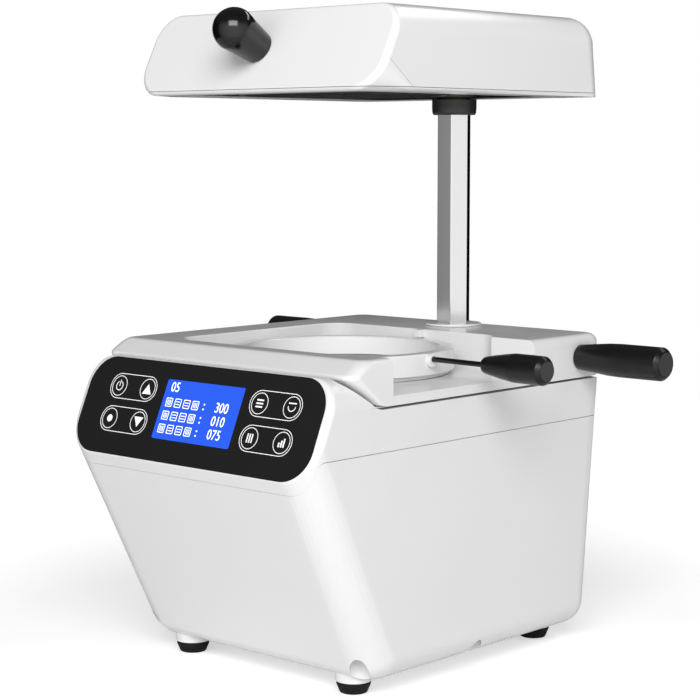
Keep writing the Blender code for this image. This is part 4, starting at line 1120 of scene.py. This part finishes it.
def column():
    side = 0.0222 / math.sqrt(3)
    rings = []
    for z, inset in ((COLUMN_LOW[2], 0.0), (COLUMN_HIGH[2] - 0.0004, 0.0), (COLUMN_HIGH[2], 0.0004)):
        corners = [(x, y, 0.0009) for x, y in circle(side - inset, 6, (0.0, COLUMN_Y))]
        rings.append([(x, y, z) for x, y in rounded(corners, 4)])
    piece = loft("hexagonal_column", rings, ALUMINIUM)
    drills = [turned(f"drill_{z}", [(0.0, z), (0.0043, z), (0.0043, z + 0.052), (0.0, z + 0.052)],
        ALUMINIUM, (0.0, COLUMN_Y, 0.0), 32) for z in (0.0, 0.350)]
    combine(piece, drills)
    place_on(piece, "base", "aluminium", "column")

    low, high, radius = 0.3763, 0.3877, 0.0163
    profile = [(0.0145, low), (0.0152, low), (0.0160, low + 0.0016), (radius, low + 0.0050), (radius, high),
        (0.0133, high), (0.0133, low), (0.0145, low)]
    collar = turned("collar", soften(profile, 0.0006, 4)[:-1], DARK, (0.0, COLUMN_Y, 0.0))
    place_on(collar, "head", "dark_steel", "head_collar")


def feet():
    names = {(-1, -1): "front_left", (1, -1): "front_right", (-1, 1): "rear_left", (1, 1): "rear_right"}
    for x, y in FEET:
        name = names[(1 if x > 0 else -1, 1 if y > 0 else -1)]
        profile = [(0.0070, 0.0), (0.0090, 0.0), (0.0115, 0.0060), (0.0115, 0.0075), (0.0026, 0.0075),
            (0.0026, 0.0045),
                   (0.0052, 0.0045), (0.0052, 0.0), (0.0070, 0.0)]
        piece = turned("rubber_foot_" + name, soften(profile, 0.0007, 4)[:-1], RUBBER, (x, y, 0.0), 64)
        place_on(piece, "base", "rubber", "foot_" + name)


CARRIED = {
    "control_board": BOARD, "power_board": BOARD,
    "vacuum_platen": ALUMINIUM, "blower_impeller": ALUMINIUM,
    "platen_seal": RUBBER, "motor_mount": RUBBER,
    "vacuum_chamber": BLACK, "blower_housing": BLACK, "exhaust_duct": BLACK,
    "mains_inlet": BLACK, "switch_body": BLACK, "power_rocker": BLACK, "heat_shield": GLOSS,
    "blower_motor": STEEL, "column_bolt": STEEL, "pivot_pin": STEEL, "pivot_nut": STEEL,
    "left_handle_stud": STEEL, "right_handle_stud": STEEL, "knob_stud": STEEL, "heater_reflector": STEEL,
    "column_socket": DARK, "heater_guard": DARK, "pivot_hub": DARK,
    "heater_element": CERAMIC, "pivot_bearing": BRONZE,
}


def dress_carried_nodes():
    """The CAD's own pieces whose shape is right get the fine materials."""
    for name, surface in CARRIED.items():
        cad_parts[name].material_slots[0].material = surface
    for name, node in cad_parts.items():
        if name.startswith("foot_screw_"):
            node.material_slots[0].material = STEEL


# ---------------------------------------------------------------- floor, light and camera

def stage():
    work = bmesh.new()
    plate(work, circle(0.95, 96, (-0.33, 0.36)), -0.002, 0.0)
    made = Nodes("pale_floor", (0.86, 0.86, 0.86), 0.7)
    made.tint(made.noise(3.0, 2.0), (0.858, 0.858, 0.858), (0.862, 0.862, 0.862))
    made.shader.inputs["Emission Color"].default_value = (1.0, 1.0, 1.0, 1.0)
    seen = made.add("ShaderNodeLightPath")
    glow = made.add("ShaderNodeMapRange")
    glow.inputs["To Min"].default_value = 0.06
    far = made.add("ShaderNodeVectorMath")
    far.operation = "LENGTH"
    made.link(made.place(), "Vector", far, "Vector")
    fade = made.add("ShaderNodeMapRange")
    fade.inputs["From Min"].default_value = 0.28
    fade.inputs["From Max"].default_value = 0.60
    fade.inputs["To Min"].default_value = 0.50
    fade.inputs["To Max"].default_value = 0.74
    made.link(far, "Value", fade, "Value")
    made.link(fade, "Result", glow, "To Max")
    made.link(seen, "Is Camera Ray", glow, "Value")
    made.link(glow, "Result", made.shader, "Emission Strength")
    floor = piece_from("floor", work, made.material)


def area_light(name, place, target, size, power):
    light = bpy.data.lights.new(name, "AREA")
    light.shape = "RECTANGLE"
    light.size, light.size_y = size
    light.energy = power
    made = bpy.data.objects.new(name, light)
    made.location = place
    made.rotation_euler = (Vector(target) - Vector(place)).to_track_quat("-Z", "Y").to_euler()
    bpy.context.scene.collection.objects.link(made)


def light():
    """A bright studio on the object's front and right, dark behind it, with a dimmer ceiling."""
    world = bpy.data.worlds.new("studio")
    bpy.context.scene.world = world
    world.use_nodes = True
    tree = world.node_tree
    background = tree.nodes["Background"]
    direction = tree.nodes.new("ShaderNodeTexCoord").outputs["Generated"]

    def math_node(operation, first, second=0.0, third=0.0):
        node = tree.nodes.new("ShaderNodeMath")
        node.operation = operation
        for socket, value in zip(node.inputs, (first, second, third)):
            if isinstance(value, float):
                socket.default_value = value
            else:
                tree.links.new(value, socket)
        return node.outputs["Value"]

    toward = tree.nodes.new("ShaderNodeVectorMath")
    toward.operation = "DOT_PRODUCT"
    bright = math.radians(BRIGHT_SIDE)
    toward.inputs[1].default_value = (math.cos(bright), math.sin(bright), 0.0)
    tree.links.new(direction, toward.inputs[0])
    lobe = math_node("POWER", math_node("MAXIMUM", toward.outputs["Value"], 0.0), 0.7)
    split = tree.nodes.new("ShaderNodeSeparateXYZ")
    tree.links.new(direction, split.inputs["Vector"])
    rise = tree.nodes.new("ShaderNodeMapRange")
    rise.interpolation_type = "SMOOTHSTEP"
    rise.inputs["From Min"].default_value = 0.20
    rise.inputs["From Max"].default_value = 0.70
    tree.links.new(split.outputs["Z"], rise.inputs["Value"])
    sky = rise.outputs["Result"]
    level = math_node("MULTIPLY", lobe, math_node("MULTIPLY_ADD", sky, -SIDE_LIGHT, SIDE_LIGHT))
    level = math_node("MULTIPLY_ADD", sky, CEILING, level)
    seen = tree.nodes.new("ShaderNodeLightPath").outputs["Is Camera Ray"]
    level = math_node("MAXIMUM", level, seen)
    tree.links.new(level, background.inputs["Color"])
    middle = (0.0, 0.0, 0.20)
    area_light("key_softbox", (1.35, -1.75, 1.62), middle, (1.9, 1.1), KEY)
    area_light("rear_strip", (0.25, 1.50, 1.75), (0.0, 0.0, 0.40), (1.8, 0.16), REAR_STRIP)


def camera():
    azimuth, height = math.radians(42.4), math.radians(6.1)
    back = Vector((math.sin(azimuth) * math.cos(height), -math.cos(azimuth) * math.cos(height),
        math.sin(height)))
    data = bpy.data.cameras.new("camera")
    data.lens = 98.33
    data.sensor_width = 36.0
    made = bpy.data.objects.new("camera", data)
    made.location = (0.8955, -0.970, 0.354)
    made.rotation_euler = back.to_track_quat("Z", "Y").to_euler()
    bpy.context.scene.collection.objects.link(made)
    bpy.context.scene.camera = made


tub()
housing()
overlay()
key_print()
display()
carriage()
carriage_fittings()
clamp_ring()
head()
knob()
column()
feet()
dress_carried_nodes()
stage()
light()
camera()
bpy.context.scene.view_settings.view_transform = "Standard"
